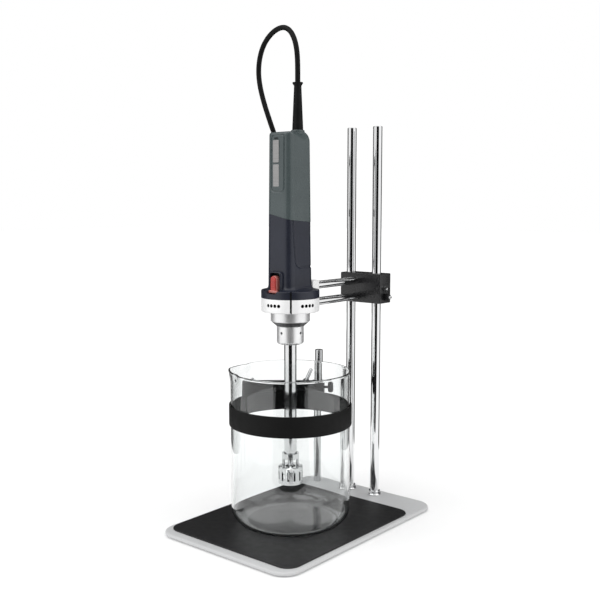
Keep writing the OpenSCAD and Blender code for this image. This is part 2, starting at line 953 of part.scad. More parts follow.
module switch_slider() {
    color("#c8322d") {
        translate([-switch_w / 2, face_y - slider_out, slider_z])
            cube([switch_w, slider_out + body_wall + free + guide_t / 2, switch_h]);
        translate([-guide_side, guide_y, slider_z + guide_rise])
            cube([2 * guide_side, guide_t, switch_h]);
    }
}

module switch_rod() {
    bottom = slider_z + guide_rise + switch_h / 2;
    color("#4a4a4a") translate([rod_x, guide_y + guide_t, bottom])
        cube([rod_w, rod_t, rod_top - bottom]);
}

module switch_block() {
    block_x0 = 1.5;
    block_x1 = cavity_w / 2 - cavity_r + rod_w / 2;
    block_d = 11;
    color("#222222") translate([block_x0, wall_in_y + free, switch_block_z])
        cube([block_x1 - block_x0, block_d, switch_block_h]);
}

module speed_module() {
    module_w = 16;
    module_l = 11;
    color("#2f4f3f") difference() {
        translate([dial_x - module_w / 2, wall_in_y + free, module_top - module_h])
            cube([module_w, module_l, module_h]);
        translate([dial_x, dial_y, module_top - dial_pin_l - cut])
            cylinder(r = dial_pin_r + run, h = dial_pin_l + 2 * cut);
    }
}

module speed_dial() {
    color("#191b1e") translate([dial_x, dial_y, dial_z]) {
        cylinder(r = dial_r, h = dial_t);
        translate([0, 0, module_top - dial_pin_l - dial_z])
            cylinder(r = dial_pin_r, h = dial_z - module_top + dial_pin_l);
    }
}

module strain_relief() {
    color("#1b1b1c") translate([relief_x, relief_y, 0]) {
        translate([0, 0, body_top - top_wall - relief_base_h])
            cylinder(r = relief_base_r, h = relief_base_h);
        translate([0, 0, body_top - top_wall]) cylinder(r = relief_r, h = top_wall);
        translate([0, 0, body_top])
            cylinder(r1 = relief_r, r2 = relief_tip_r, h = relief_len - relief_rim_h);
        translate([0, 0, relief_top - relief_rim_h])
            cylinder(r1 = relief_tip_r, r2 = relief_rim_r, h = relief_rim_h / 2);
        translate([0, 0, relief_top - relief_rim_h / 2])
            cylinder(r = relief_rim_r, h = relief_rim_h / 2);
    }
}

// Beaker and holder

module beaker_section(r, h, edge) {
    translate([0, edge]) square([r, h - edge]);
    square([r - edge, h]);
    translate([r - edge, edge]) circle(edge);
}

module half_plane(h) {
    translate([0, -cut]) square([beaker_d, h + 2 * cut]);
}

module at_spout() {
    at_axis() rotate([0, 0, spout_turn])
        translate([beaker_d / 2 - spout_in, 0, mat_top + beaker_h - spout_h]) children();
}

module spout_cone() {
    cylinder(r1 = spout_in - cut, r2 = spout_in + spout_reach, h = spout_h);
}

module beaker() {
    outer = beaker_d / 2;
    inner = outer - glass_wall;
    color([0.85, 0.92, 0.94, 0.35]) difference() {
        union() {
            at_axis() translate([0, 0, mat_top]) rotate_extrude($fn = 96) intersection() {
                half_plane(beaker_h);
                difference() {
                    union() {
                        beaker_section(outer, beaker_h, base_edge_r);
                        translate([outer - rim_bead_r / 2, beaker_h - rim_bead_r]) circle(rim_bead_r);
                    }
                    translate([0, glass_wall]) beaker_section(inner, beaker_h, base_edge_r - glass_wall);
                }
            }
            difference() {
                at_spout() spout_cone();
                at_axis() translate([0, 0, mat_top + glass_wall])
                    cylinder(r = outer - glass_wall / 2, h = beaker_h);
            }
        }
        at_spout() translate([0, 0, glass_wall]) spout_cone();
    }
}

module at_rivets() {
    at_holder() for (x = [-rivet_gap / 2, rivet_gap / 2])
        translate([x, 0, rivet_z]) rotate([-90, 0, 0]) children();
}

module beaker_strap() {
    color("#1d1d1d") difference() {
        at_axis() translate([0, 0, strap_z]) tube(strap_r, strap_in_r, strap_h);
        at_rivets() cylinder(r = rivet_r + seat, h = bar_out);
    }
}

module strap_rivets() {
    inner = strap_in_r - cut / 4;
    color("silver") at_rivets() {
        translate([0, 0, inner]) cylinder(r = rivet_r, h = bar_out - inner);
        translate([0, 0, bar_out]) cylinder(r = rivet_head_r, h = rivet_head_h);
    }
}

module at_tension() {
    at_holder() translate([bar_right, bar_mid, bar_top - tension_drop]) rotate([0, 90, 0]) children();
}

module at_strap_pin() {
    at_holder() translate([bar_left + pin_inset, bar_mid, bar_z]) children();
}

module back_bar() {
    color("#1f1f20") difference() {
        at_holder() translate([bar_left, bar_in, bar_z]) cube([bar_len, bar_t, bar_h]);
        at_axis() cylinder(r = strap_r + seat, h = bar_top + cut);
        at_rivets() cylinder(r = rivet_r + seat, h = bar_out + cut);
        at_tension() translate([0, 0, -tension_bite - cut])
            cylinder(r = tension_stem_r + run, h = tension_bite + 2 * cut);
        at_strap_pin() translate([0, 0, -cut]) cylinder(r = pin_r + seat, h = bar_h + 2 * cut);
    }
}

module strap_pin() {
    color("silver") at_strap_pin() cylinder(r = pin_r, h = bar_h + pin_stand);
}

module tension_knob() {
    color("#202020") at_tension() {
        translate([0, 0, -tension_bite]) cylinder(r = tension_stem_r, h = tension_bite + tension_stand);
        translate([0, 0, tension_stand]) cylinder(d = tension_d, h = tension_t);
    }
}

module at_post() {
    translate([post_x, column_y, boss_z]) children();
}

module boss_head() {
    color("#1f1f20") at_post() difference() {
        union() {
            translate([0, 0, -boss_h / 2]) cylinder(r = boss_r, h = boss_h);
            translate([-boss_neck_w / 2, -boss_neck_l, -boss_neck_h / 2])
                cube([boss_neck_w, boss_neck_l, boss_neck_h]);
        }
        translate([0, 0, -boss_h]) cylinder(r = post_r + run, h = 2 * boss_h);
        translate([0, 0, lever_rise]) rotate([0, -90, 0]) cylinder(r = lever_stem_r + run, h = boss_d);
    }
}

module holder_arm() {
    long = column_y - boss_neck_l - axis_y + beaker_d;
    color("#1f1f20") difference() {
        at_post() translate([-holder_arm_w / 2, -boss_neck_l - long, -holder_arm_h / 2])
            cube([holder_arm_w, long, holder_arm_h]);
        at_holder() translate([-2 * beaker_d, bar_out - 4 * beaker_d, 0])
            cube([4 * beaker_d, 4 * beaker_d, bar_top + cut]);
    }
}

module boss_lever() {
    inner = post_r + free;
    hub_x = boss_r + lever_gap;
    color("silver") at_post() translate([0, 0, lever_rise]) rotate([0, -90, 0]) {
        translate([0, 0, inner]) cylinder(r = lever_stem_r, h = hub_x + lever_hub_l - inner);
        translate([0, 0, hub_x]) cylinder(r = lever_hub_r, h = lever_hub_l);
        translate([0, 0, hub_x + lever_hub_l / 2]) rotate([90, 0, -lever_tilt])
            translate([0, 0, -lever_len / 2]) cylinder(r = lever_r, h = lever_len);
    }
}

// Mains lead

function unit(v) = v / norm(v);

function tangent(p, i) = unit(p[min(i + 1, len(p) - 1)] - p[max(i - 1, 0)]);

// Ring of points round a path point, with one direction kept near to the given side
function ring_at(c, t, side, r, n) = let (u = unit(side - (side * t) * t), w = cross(t, u))
    [for (k = [0:n - 1]) c + r * (cos(360 * k / n) * u + sin(360 * k / n) * w)];

module sweep(path, side, r, n) {
    last = len(path) - 1;
    rings = [for (i = [0:last]) ring_at(path[i], tangent(path, i), side, r, n)];
    points = [for (ring = rings, p = ring) p];
    sides = [for (i = [0:last - 1], k = [0:n - 1], half = [0, 1])
        let (a = i * n + k, b = i * n + (k + 1) % n)
        half == 0 ? [a, a + n, b] : [b, a + n, b + n]];
    ends = [for (k = [1:n - 2], e = [0, 1])
        e == 0 ? [0, k, k + 1] : [last * n, last * n + k + 1, last * n + k]];
    polyhedron(points, concat(sides, ends));
}

// Frame of the hank: away from the motor, across the layers, up
hank_away = [-sin(hank_turn), cos(hank_turn), 0];
hank_across = [cos(hank_turn), sin(hank_turn), 0];
hank_mid = [0, axis_y, hank_mid_z] + hank_far * hank_away;

function hank_radius(t) = hank_in + hank_step * abs(t - hank_turns / 2);

function hank_level(t) = hank_layer * (smooth((t - hank_turns / 2) * 2 + 0.5) - 0.5);

function smooth(s) = let (c = max(0, min(1, s))) c * c * (3 - 2 * c);

function waist(v) = hank_waist * pow(cos(90 * v / hank_half), 2);

// Place in one turn: down the near run, round the lower fold, up the far run, round the upper fold
function hank_flat(f, r) =
    f < run_share ? let (v = hank_half - 2 * hank_half * f / run_share) [waist(v) - r, v]
    : f < 0.5 ? let (a = 180 * (f - run_share) / (0.5 - run_share)) [-r * cos(a), -hank_half - r * sin(a)]
    : f < 0.5 + run_share ? let (v = -hank_half + 2 * hank_half * (f - 0.5) / run_share) [r - waist(v), v]
    : let (a = 180 * (f - 0.5 - run_share) / (0.5 - run_share)) [r * cos(a), hank_half + r * sin(a)];

function hank_point(t) = let (q = hank_flat(t - floor(t), hank_radius(t)))
    hank_mid + q[0] * hank_away + hank_level(t) * hank_across + [0, 0, q[1]];

function hank_path(n) = let (steps = round(hank_turns * n), first = hank_point(0),
        last = first + [0, 0, -2 * hank_half] + hank_layer * hank_across)
    concat([first + [0, 0, cord_d], first], [for (i = [1:steps - 1]) hank_point(hank_turns * i / steps)],
        [last, last - [0, 0, cord_d], last - [0, 0, hank_tail]]);

function path_length(p, i = 1) = i >= len(p) ? 0 : norm(p[i] - p[i - 1]) + path_length(p, i + 1);

hank_points = hank_path(hank_rings);
lead_points = concat([[relief_x, relief_y, relief_top], [relief_x, relief_y, relief_top + cord_d]], arch,
    [hank_points[0] + [0, 0, cord_d], hank_points[0]]);

// Least gap of the hank to itself, past one fold's length along the tube
fine = hank_path(2 * hank_rings);
fine_skip = hank_rings / 2;
fine_last = len(fine) - 2;
fine_pairs = [for (i = [0:fine_last], j = [i + fine_skip:1:fine_last]) norm(fine[i] - fine[j])];
fine_gap = min(fine_pairs) - cord_d;
echo(least_gap_of_hank = fine_gap);
echo(lead_length = path_length(lead_points), hank_length = path_length(fine));

module cord_lead() {
    color("#161616") sweep(lead_points, [0, 1, 0], cord_r, 10);
}

module cord_hank() {
    color("#161616") sweep(hank_points, hank_across, cord_r, 6);
}

module cord_tie() {
    half_away = hank_out - hank_waist + cord_r + free;
    half_across = (hank_layer + cord_d) / 2 + free;
    color("#3a3a3c") translate(hank_mid - [0, 0, tie_h / 2]) rotate([0, 0, hank_turn]) difference() {
        slab(2 * (half_across + tie_t), 2 * (half_away + tie_t), tie_h, tie_t);
        translate([-half_across, -half_away, -cut])
            cube([2 * half_across, 2 * half_away, tie_h + 2 * cut]);
    }
}

module at_plug() {
    translate(hank_points[len(hank_points) - 1]) rotate([0, 0, hank_turn]) children();
}

module at_plug_pins(drop) {
    at_plug() for (x = [-plug_pin_gap / 2, plug_pin_gap / 2])
        translate([x, 0, -drop]) children();
}

module plug_body() {
    color("#19191a") difference() {
        at_plug() union() {
            translate([0, 0, -plug_neck_h]) cylinder(r = plug_neck_r, h = plug_neck_h);
            translate([0, 0, -plug_neck_h - plug_h]) slab(plug_w, plug_t, plug_h, plug_corner_r);
        }
        at_plug_pins(plug_neck_h + plug_h + cut)
            cylinder(d = plug_pin_d + 2 * seat, h = plug_pin_bite + cut);
    }
}

module plug_pins() {
    color("silver") at_plug_pins(plug_neck_h + plug_h + plug_pin_l)
        cylinder(d = plug_pin_d, h = plug_pin_l + plug_pin_bite);
}

base_plate();
rubber_mat();
foot_pads();
column_left();
column_right();
column_collars();
base_bolts();
holder_post();
clamp_block();
arm_upper();
arm_lower();
arm_screws();
rear_bracket();
vent_ring();
ring_screws();
nose_cone();
tube_socket();
socket_screws();
stator_tube();
stator_head();
shaft_bushes();
front_bearing();
rear_bearing();
lower_housing();
upper_housing();
label_plate();
field_core();
field_coils();
brush_holders();
carbon_brushes();
switch_block();
speed_module();
strain_relief();
armature_shaft();
armature_core();
commutator();
cooling_fan();
shaft_coupling();
drive_shaft();
rotor_head();
switch_slider();
switch_rod();
speed_dial();
pinch_screw();
clamp_stem();
clamp_knob();
boss_head();
holder_arm();
back_bar();
beaker_strap();
strap_rivets();
strap_pin();
boss_lever();
tension_knob();
beaker();
cord_lead();
cord_hank();
cord_tie();
plug_body();
plug_pins();
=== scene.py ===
# Laboratory homogenizer on its column stand: skins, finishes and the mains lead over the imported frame
import math
import bmesh
import bpy
import numpy as np
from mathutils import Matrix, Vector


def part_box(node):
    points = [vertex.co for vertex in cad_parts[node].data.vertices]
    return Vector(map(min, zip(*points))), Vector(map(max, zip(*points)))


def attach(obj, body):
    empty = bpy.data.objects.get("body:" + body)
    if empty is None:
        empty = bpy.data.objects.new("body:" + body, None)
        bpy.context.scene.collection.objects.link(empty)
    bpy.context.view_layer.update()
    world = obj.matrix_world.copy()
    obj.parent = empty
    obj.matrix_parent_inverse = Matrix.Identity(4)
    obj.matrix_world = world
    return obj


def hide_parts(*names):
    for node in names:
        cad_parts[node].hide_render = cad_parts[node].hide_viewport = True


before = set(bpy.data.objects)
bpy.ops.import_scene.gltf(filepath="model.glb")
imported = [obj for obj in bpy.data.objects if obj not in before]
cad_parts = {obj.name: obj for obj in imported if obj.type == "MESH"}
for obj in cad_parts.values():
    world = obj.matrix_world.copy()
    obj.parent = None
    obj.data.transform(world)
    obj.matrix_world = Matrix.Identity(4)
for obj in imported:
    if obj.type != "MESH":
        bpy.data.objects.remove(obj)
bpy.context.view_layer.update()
mm = 0.001
acrossAxis, backAxis, upAxis = np.eye(3)
scene = bpy.context.scene
scene.view_settings.view_transform = "Standard"
print("frame loaded with", len(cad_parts), "nodes")


def linked(name, data):
    made = bpy.data.objects.new(name, data)
    scene.collection.objects.link(made)
    return made


# camera at the photograph's place, for a square picture
shot = {"place": (0.83691, -0.99791, 0.48311), "tilt": 83.66, "turn": 40.10, "focal": 885.27, "picture": 600,
        "sensor": 36}
cameraData = bpy.data.cameras.new("camera")
cameraData.sensor_width = shot["sensor"]
cameraData.lens = shot["focal"] / shot["picture"] * shot["sensor"]
camera = linked("camera", cameraData)
camera.location = shot["place"]
camera.rotation_euler = (math.radians(shot["tilt"]), 0, math.radians(shot["turn"]))
scene.camera = camera


# surfaces: a shell is its points, its quads and its flat caps

def unit(v):
    v = np.asarray(v, float)
    return v / np.linalg.norm(v, axis=-1, keepdims=True)


def smoothStep(low, high, value):
    # eases from 0 to 1 between the two limits: 3t² - 2t³
    t = np.clip((value - low) / (high - low), 0, 1)
    return t * t * (3 - 2 * t)


def signedVolume(points, quads, caps):
    # a sixth of the sum of a·(b×c) over the triangles of the skin
    fans = [[c[0], c[k], c[k + 1]] for c in caps for k in range(1, len(c) - 1)]
    triangles = np.concatenate([quads[:, [0, 1, 2]], quads[:, [0, 2, 3]], np.array(fans, int).reshape(-1, 3)])
    a, b, c = (points[triangles[:, k]] - points.mean(0) for k in range(3))
    return np.einsum("ij,ij->", a, np.cross(b, c)) / 6


def shell(rings, loop=False):
    # closed skin over rings of points (rows, columns, 3): columns run round, and rows end in caps or loop
    rows, cols = rings.shape[:2]
    i, j = np.meshgrid(np.arange(rows if loop else rows - 1), np.arange(cols), indexing="ij")
    up, on = (i + 1) % rows, (j + 1) % cols
    quads = np.stack([i * cols + j, i * cols + on, up * cols + on, up * cols + j], -1).reshape(-1, 4)
    caps = [] if loop else [np.arange(cols)[::-1], np.arange(cols) + (rows - 1) * cols]
    points = rings.reshape(-1, 3)
    if signedVolume(points, quads, caps) < 0:
        quads, caps = quads[:, ::-1], [c[::-1] for c in caps]
    return points, quads, caps


def turned(profile, foot=(0, 0, 0), axis=upAxis, loop=False, around=96, flutes=0, depth=0):
    # surface of revolution: profile points (radius, height) go round the axis
    # flutes dip the outer fifth of the radius as a cosine of the angle
    profile = np.asarray(profile, float)
    axis = unit(axis)
    side = unit(np.cross(axis, backAxis if abs(axis[1]) < 0.9 else acrossAxis))
    turn = np.linspace(0, 2 * np.pi, around, endpoint=False)
    spoke = np.cos(turn)[:, None] * side + np.sin(turn)[:, None] * np.cross(axis, side)
    dip = depth * (0.5 + 0.5 * np.cos(flutes * turn)) * (profile[:, :1] > 0.8 * profile[:, 0].max())
    radius = profile[:, :1] - dip
    return shell(np.array(foot) + profile[:, 1, None, None] * axis + radius[..., None] * spoke, loop)


def rounded(corners, loop=False, steps=6):
    # line through corners (a, b, radius), with an arc of that radius in place of each corner
    spots = np.array([c[:2] for c in corners], float)
    line = []
    for k, here in enumerate(spots):
        radius = corners[k][2]
        if radius == 0 or not loop and k in (0, len(spots) - 1):
            line.append(here[None])
            continue
        back, ahead = unit(spots[k - 1] - here), unit(spots[(k + 1) % len(spots)] - here)
        half = math.acos(np.clip(back @ ahead, -1, 1)) / 2
        outwards = -unit(back + ahead)
        sweep = np.linspace(-1, 1, steps + 1)[:, None] * (math.pi / 2 - half)
        arc = np.cos(sweep) * outwards + np.sin(sweep) * unit(ahead - back)
        line.append(here + radius * (arc - outwards / math.sin(half)))
    return np.concatenate(line)


def hoop(inner, outer, low, high, innerRound=0, outerRound=0, steps=6):
    # profile of a ring with a bore, round at its inner and outer edges
    return rounded([(inner, low, innerRound), (outer, low, outerRound), (outer, high, outerRound),
                    (inner, high, innerRound)], loop=True, steps=steps)


def puck(radius, low, high, edge, hub=1 * mm):
    # profile of a full drum with soft edges, from the hub where its flat caps begin
    return rounded([(hub, low, 0), (radius, low, edge), (radius, high, edge), (hub, high, 0)])


def rectRing(width, depth, radius, perCorner=9):
    # rounded rectangle: a quarter circle about each of its four corner middles
    turn = np.arange(4)[:, None] * np.pi / 2 + np.linspace(0, np.pi / 2, perCorner)
    x = (width / 2 - radius) * np.array([1, -1, -1, 1])[:, None] + radius * np.cos(turn)
    y = (depth / 2 - radius) * np.array([1, 1, -1, -1])[:, None] + radius * np.sin(turn)
    return np.stack([x, y], -1).reshape(-1, 2)


def evenRing(width, depth, radius, count):
    # the same outline with points an even distance apart
    ring = rectRing(width, depth, radius, 40)
    ring = np.concatenate([ring, ring[:1]])
    run = np.concatenate([[0], np.cumsum(np.linalg.norm(np.diff(ring, axis=0), axis=1))])
    at = np.linspace(0, run[-1], count, endpoint=False)
    return np.stack([np.interp(at, run, ring[:, 0]), np.interp(at, run, ring[:, 1])], -1)


def softRim(height, edge, steps=5):
    # rim (inset, height) of a block whose foot and top edges are quarter rounds
    turn = np.linspace(0, np.pi / 2, steps + 1)
    inset, lift = edge * (1 - np.sin(turn)), edge * (1 - np.cos(turn))
    return np.stack([np.r_[inset, inset[::-1]], np.r_[lift, height - lift[::-1]]], -1)


def slab(width, depth, radius, rim, foot, right=acrossAxis, ahead=backAxis, least=0.05 * mm):
    # block with round corners: its outline shrinks by the rim's inset at the rim's height
    rings = np.stack([rectRing(width - 2 * i, depth - 2 * i, max(radius - i, least)) for i, h in rim])
    flat = rings[..., :1] * right + rings[..., 1:] * ahead
    return shell(np.array(foot) + flat + np.array(rim)[:, 1, None, None] * np.cross(right, ahead))


def faceSlab(width, height, radius, rim, middle):
    # slab that stands out of the front face, with its rim towards the viewer
    return slab(width, height, radius, rim, middle, acrossAxis, upAxis)


def cylinder(radius, foot, tip, around=48):
    # plain drum between two points, used to drill holes
    foot, tip = np.array(foot, float), np.array(tip, float)
    return turned([(radius, 0), (radius, np.linalg.norm(tip - foot))], foot, tip - foot, around=around)


def joined(shells):
    # several shells as one list of points and faces
    start, points, faces = 0, [], []
    for spots, quads, caps in shells:
        points.append(spots)
        faces += (quads + start).tolist() + [(c + start).tolist() for c in caps]
        start += len(spots)
    return np.concatenate(points), faces


def meshOf(name, shells):
    points, faces = joined(shells)
    mesh = bpy.data.meshes.new(name)
    mesh.from_pydata(points.tolist(), [], faces)
    return mesh


def drill(made, cutters):
    # cuts shells out of a piece one after the other
    for cutter in cutters:
        tool = linked("tool", meshOf("tool", [cutter]))
        cut = made.modifiers.new("cut", "BOOLEAN")
        cut.object, cut.operation, cut.solver = tool, "DIFFERENCE", "EXACT"
        result = bpy.data.meshes.new_from_object(made.evaluated_get(bpy.context.evaluated_depsgraph_get()))
        made.modifiers.clear()
        made.data = result
        bpy.data.objects.remove(tool)


def finishPiece(made, material, body, nodes, sharp):
    # smooth faces with sharp creases, then its finish, its body and the CAD nodes that it stands for
    made.data.shade_smooth()
    made.data.set_sharp_from_angle(angle=math.radians(sharp))
    made.data.materials.clear()
    made.data.materials.append(material)
    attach(made, body)
    if nodes:
        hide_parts(*nodes)
    return made


def piece(name, shells, material, body, nodes=(), holes=(), sharp=32):
    made = linked(name, meshOf(name, shells))
    drill(made, holes)
    return finishPiece(made, material, body, nodes, sharp)


def smoothCopy(name, node, material, body, sharp=30, shift=(0, 0, 0)):
    # copy of a CAD node with its loose triangles merged, so that round faces shade smoothly
    mesh = bpy.data.meshes.new(name)
    work = bmesh.new()
    work.from_mesh(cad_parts[node].data)
    bmesh.ops.remove_doubles(work, verts=work.verts, dist=0.002 * mm)
    bmesh.ops.translate(work, verts=work.verts, vec=shift)
    work.to_mesh(mesh)
    work.free()
    return finishPiece(linked(name, mesh), material, body, [node], sharp)


# finishes, all from noise and waves on object coordinates

def addNode(tree, kind, inputs=(), **settings):
    node = tree.nodes.new("ShaderNode" + kind)
    for key, value in settings.items():
        setattr(node, key, value)
    for key, value in dict(inputs).items():
        if isinstance(value, bpy.types.NodeSocket):
            tree.links.new(value, node.inputs[key])
        else:
            node.inputs[key].default_value = value
    return node


def combine(tree, operation, first, second):
    return addNode(tree, "Math", {0: first, 1: second}, operation=operation).outputs[0]


def newFinish(name, sockets):
    # a principled material with its constant sockets set
    material = bpy.data.materials.new(name)
    material.use_nodes = True
    shader = material.node_tree.nodes["Principled BSDF"]
    for key, value in sockets.items():
        shader.inputs[key].default_value = value
    return material, material.node_tree, shader


def grain(tree, scale, stretch=(1, 1, 1), detail=3.0):
    # noise on object coordinates, scale in spots a metre
    place = addNode(tree, "TexCoord").outputs["Object"]
    stretched = addNode(tree, "Mapping", {"Vector": place, "Scale": stretch}).outputs["Vector"]
    return addNode(tree, "TexNoise", {"Vector": stretched, "Scale": scale, "Detail": detail}).outputs["Fac"]


def bands(tree, period, direction):
    # sine bands along one object axis, period in metres; the wave node has 20 radians to its unit of scale
    place = addNode(tree, "TexCoord").outputs["Object"]
    scale = 2 * math.pi / 20 / period
    wave = addNode(tree, "TexWave", {"Vector": place, "Scale": scale}, bands_direction=direction)
    return wave.outputs["Fac"]


def tint(tree, shader, fac, dark, light, low=0.3, high=0.7):
    # base colour between two shades
    ramp = addNode(tree, "ValToRGB", {"Fac": fac})
    for stop, place, colour in zip(ramp.color_ramp.elements, (low, high), (dark, light)):
        stop.position, stop.color = place, (*colour, 1)
    tree.links.new(ramp.outputs["Color"], shader.inputs["Base Color"])


def roughen(tree, shader, fac, low, high):
    # roughness between two values
    span = addNode(tree, "MapRange", {"Value": fac, "From Min": 0.3, "From Max": 0.7,
                                      "To Min": low, "To Max": high})
    tree.links.new(span.outputs["Result"], shader.inputs["Roughness"])


def emboss(tree, shader, fac, height, strength=1.0):
    # bump of that height in metres
    bump = addNode(tree, "Bump", {"Height": fac, "Distance": height, "Strength": strength})
    tree.links.new(bump.outputs["Normal"], shader.inputs["Normal"])


def grainFinish(name, look):
    # moulded, painted or cast surface: cloudy colour, uneven gloss and a fine grain
    material, tree, shader = newFinish(name, look.get("sockets", {}))
    clouds = grain(tree, look["cloud"])
    tint(tree, shader, clouds, look["dark"], look["light"])
    roughen(tree, shader, grain(tree, look["cloud"] * 7), *look["rough"])
    emboss(tree, shader, grain(tree, look["grain"], detail=2.0), look["height"])
    return material


def metalFinish(name, look):
    # worked metal: fine tool lines across the given stretch, with gloss that wanders
    material, tree, shader = newFinish(name, {"Metallic": 1.0, **look.get("sockets", {})})
    tint(tree, shader, grain(tree, look["cloud"]), look["dark"], look["light"])
    roughen(tree, shader, grain(tree, look["cloud"] * 5), *look["rough"])
    emboss(tree, shader, grain(tree, 1.0, look["lines"], 2.0), look["height"])
    return material


platePaint = grainFinish("platePaint", {
    "dark": (0.58, 0.585, 0.59), "light": (0.62, 0.625, 0.63), "cloud": 9, "rough": (0.34, 0.46),
    "grain": 900, "height": 0.03 * mm})
matRubber = grainFinish("matRubber", {
    "dark": (0.009, 0.009, 0.0098), "light": (0.011, 0.011, 0.0118), "cloud": 14, "rough": (0.5, 0.58),
    "grain": 1500, "height": 0.03 * mm})
blackPaint = grainFinish("blackPaint", {
    "dark": (0.012, 0.012, 0.013), "light": (0.02, 0.02, 0.021), "cloud": 40, "rough": (0.24, 0.36),
    "grain": 1800, "height": 0.02 * mm})
navyPlastic = grainFinish("navyPlastic", {
    "dark": (0.012, 0.0145, 0.026), "light": (0.015, 0.018, 0.032), "cloud": 30, "rough": (0.34, 0.42),
    "grain": 2300, "height": 0.018 * mm, "sockets": {"Specular IOR Level": 0.44}})
greyPlastic = grainFinish("greyPlastic", {
    "dark": (0.056, 0.073, 0.075), "light": (0.067, 0.086, 0.088), "cloud": 30, "rough": (0.26, 0.34),
    "grain": 2300, "height": 0.018 * mm})
dialPlastic = grainFinish("dialPlastic", {
    "dark": (0.026, 0.03, 0.031), "light": (0.038, 0.043, 0.044), "cloud": 60, "rough": (0.38, 0.5),
    "grain": 2000, "height": 0.02 * mm})
blackPlastic = grainFinish("blackPlastic", {
    "dark": (0.005, 0.005, 0.0055), "light": (0.009, 0.009, 0.01), "cloud": 60, "rough": (0.38, 0.5),
    "grain": 2000, "height": 0.03 * mm, "sockets": {"Specular IOR Level": 0.25}})
redPlastic = grainFinish("redPlastic", {
    "dark": (0.40, 0.035, 0.03), "light": (0.50, 0.05, 0.042), "cloud": 80, "rough": (0.28, 0.38),
    "grain": 2200, "height": 0.02 * mm})
cordRubber = grainFinish("cordRubber", {
    "dark": (0.006, 0.006, 0.006), "light": (0.010, 0.010, 0.010), "cloud": 50, "rough": (0.4, 0.52),
    "grain": 2600, "height": 0.03 * mm, "sockets": {"Specular IOR Level": 0.1}})
# paler red for the switch's rim and ledge: painted highlight on the key's lit edges
paintedHighlightRed = grainFinish("paintedHighlightRed", {
    "dark": (0.50, 0.16, 0.14), "light": (0.60, 0.21, 0.18), "cloud": 80, "rough": (0.28, 0.38),
    "grain": 2200, "height": 0.02 * mm})
bushWhite = grainFinish("bushWhite", {
    "dark": (0.80, 0.80, 0.77), "light": (0.88, 0.88, 0.86), "cloud": 60, "rough": (0.4, 0.5),
    "grain": 1500, "height": 0.02 * mm})
carbonBlock = grainFinish("carbonBlock", {
    "dark": (0.015, 0.015, 0.015), "light": (0.03, 0.03, 0.03), "cloud": 200, "rough": (0.5, 0.65),
    "grain": 3000, "height": 0.04 * mm})
chrome = metalFinish("chrome", {
    "dark": (0.78, 0.785, 0.79), "light": (0.86, 0.865, 0.87), "cloud": 8, "rough": (0.03, 0.06),
    "lines": (300, 300, 20), "height": 0.001 * mm})
# chrome painted darker, for the holder post and lever: painted dark reflections in its colour
darkReflectionChrome = metalFinish("darkReflectionChrome", {
    "dark": (0.46, 0.465, 0.47), "light": (0.54, 0.545, 0.55), "cloud": 8, "rough": (0.03, 0.06),
    "lines": (300, 300, 20), "height": 0.001 * mm})
turnedAlloy = metalFinish("turnedAlloy", {
    "dark": (0.90, 0.902, 0.905), "light": (0.96, 0.962, 0.965), "cloud": 20, "rough": (0.34, 0.42),
    "lines": (10, 10, 2600), "height": 0.004 * mm, "sockets": {"Metallic": 0.8}})
smokedAlloy = metalFinish("smokedAlloy", {
    "dark": (0.15, 0.15, 0.155), "light": (0.20, 0.20, 0.205), "cloud": 20, "rough": (0.34, 0.42),
    "lines": (10, 10, 2600), "height": 0.004 * mm})
satinAlloy = metalFinish("satinAlloy", {
    "dark": (0.94, 0.942, 0.945), "light": (0.98, 0.981, 0.983), "cloud": 20, "rough": (0.32, 0.4),
    "lines": (10, 10, 2600), "height": 0.006 * mm, "sockets": {"Metallic": 0.15}})
toolSteel = metalFinish("toolSteel", {
    "dark": (0.66, 0.665, 0.67), "light": (0.76, 0.765, 0.77), "cloud": 25, "rough": (0.09, 0.16),
    "lines": (12, 12, 3000), "height": 0.004 * mm})
darkSteel = metalFinish("darkSteel", {
    "dark": (0.16, 0.16, 0.165), "light": (0.24, 0.24, 0.245), "cloud": 120, "rough": (0.3, 0.42),
    "lines": (1500, 1500, 1500), "height": 0.02 * mm})
coreIron = metalFinish("coreIron", {
    "dark": (0.20, 0.19, 0.175), "light": (0.27, 0.26, 0.24), "cloud": 60, "rough": (0.4, 0.55),
    "lines": (5, 5, 2000), "height": 0.05 * mm})
copperWire = metalFinish("copperWire", {
    "dark": (0.55, 0.25, 0.11), "light": (0.70, 0.36, 0.18), "cloud": 60, "rough": (0.28, 0.4),
    "lines": (900, 900, 60), "height": 0.1 * mm})
platedPin = metalFinish("platedPin", {
    "dark": (0.70, 0.66, 0.52), "light": (0.80, 0.76, 0.62), "cloud": 100, "rough": (0.12, 0.22),
    "lines": (30, 30, 1800), "height": 0.006 * mm})


def makeStrapBand():
    # black elastic: ribs along the band, broken by a fine grain
    material, tree, shader = newFinish("strapBand", {"Specular IOR Level": 0.1})
    ribs = bands(tree, 1.2 * mm, "Z")
    speck = grain(tree, 1600)
    tint(tree, shader, speck, (0.006, 0.006, 0.006), (0.011, 0.011, 0.011))
    roughen(tree, shader, grain(tree, 90), 0.46, 0.6)
    emboss(tree, shader, combine(tree, "ADD", ribs, speck), 0.06 * mm)
    return material


def makeLabelFilm():
    # bare satin label: short brushed lines across the plate
    material, tree, shader = newFinish("labelFilm", {"Metallic": 0.35})
    lines = grain(tree, 1.0, (12, 12, 3200), 2.0)
    tint(tree, shader, lines, (0.26, 0.258, 0.255), (0.35, 0.345, 0.342))
    roughen(tree, shader, grain(tree, 70), 0.3, 0.42)
    emboss(tree, shader, lines, 0.006 * mm)
    return material


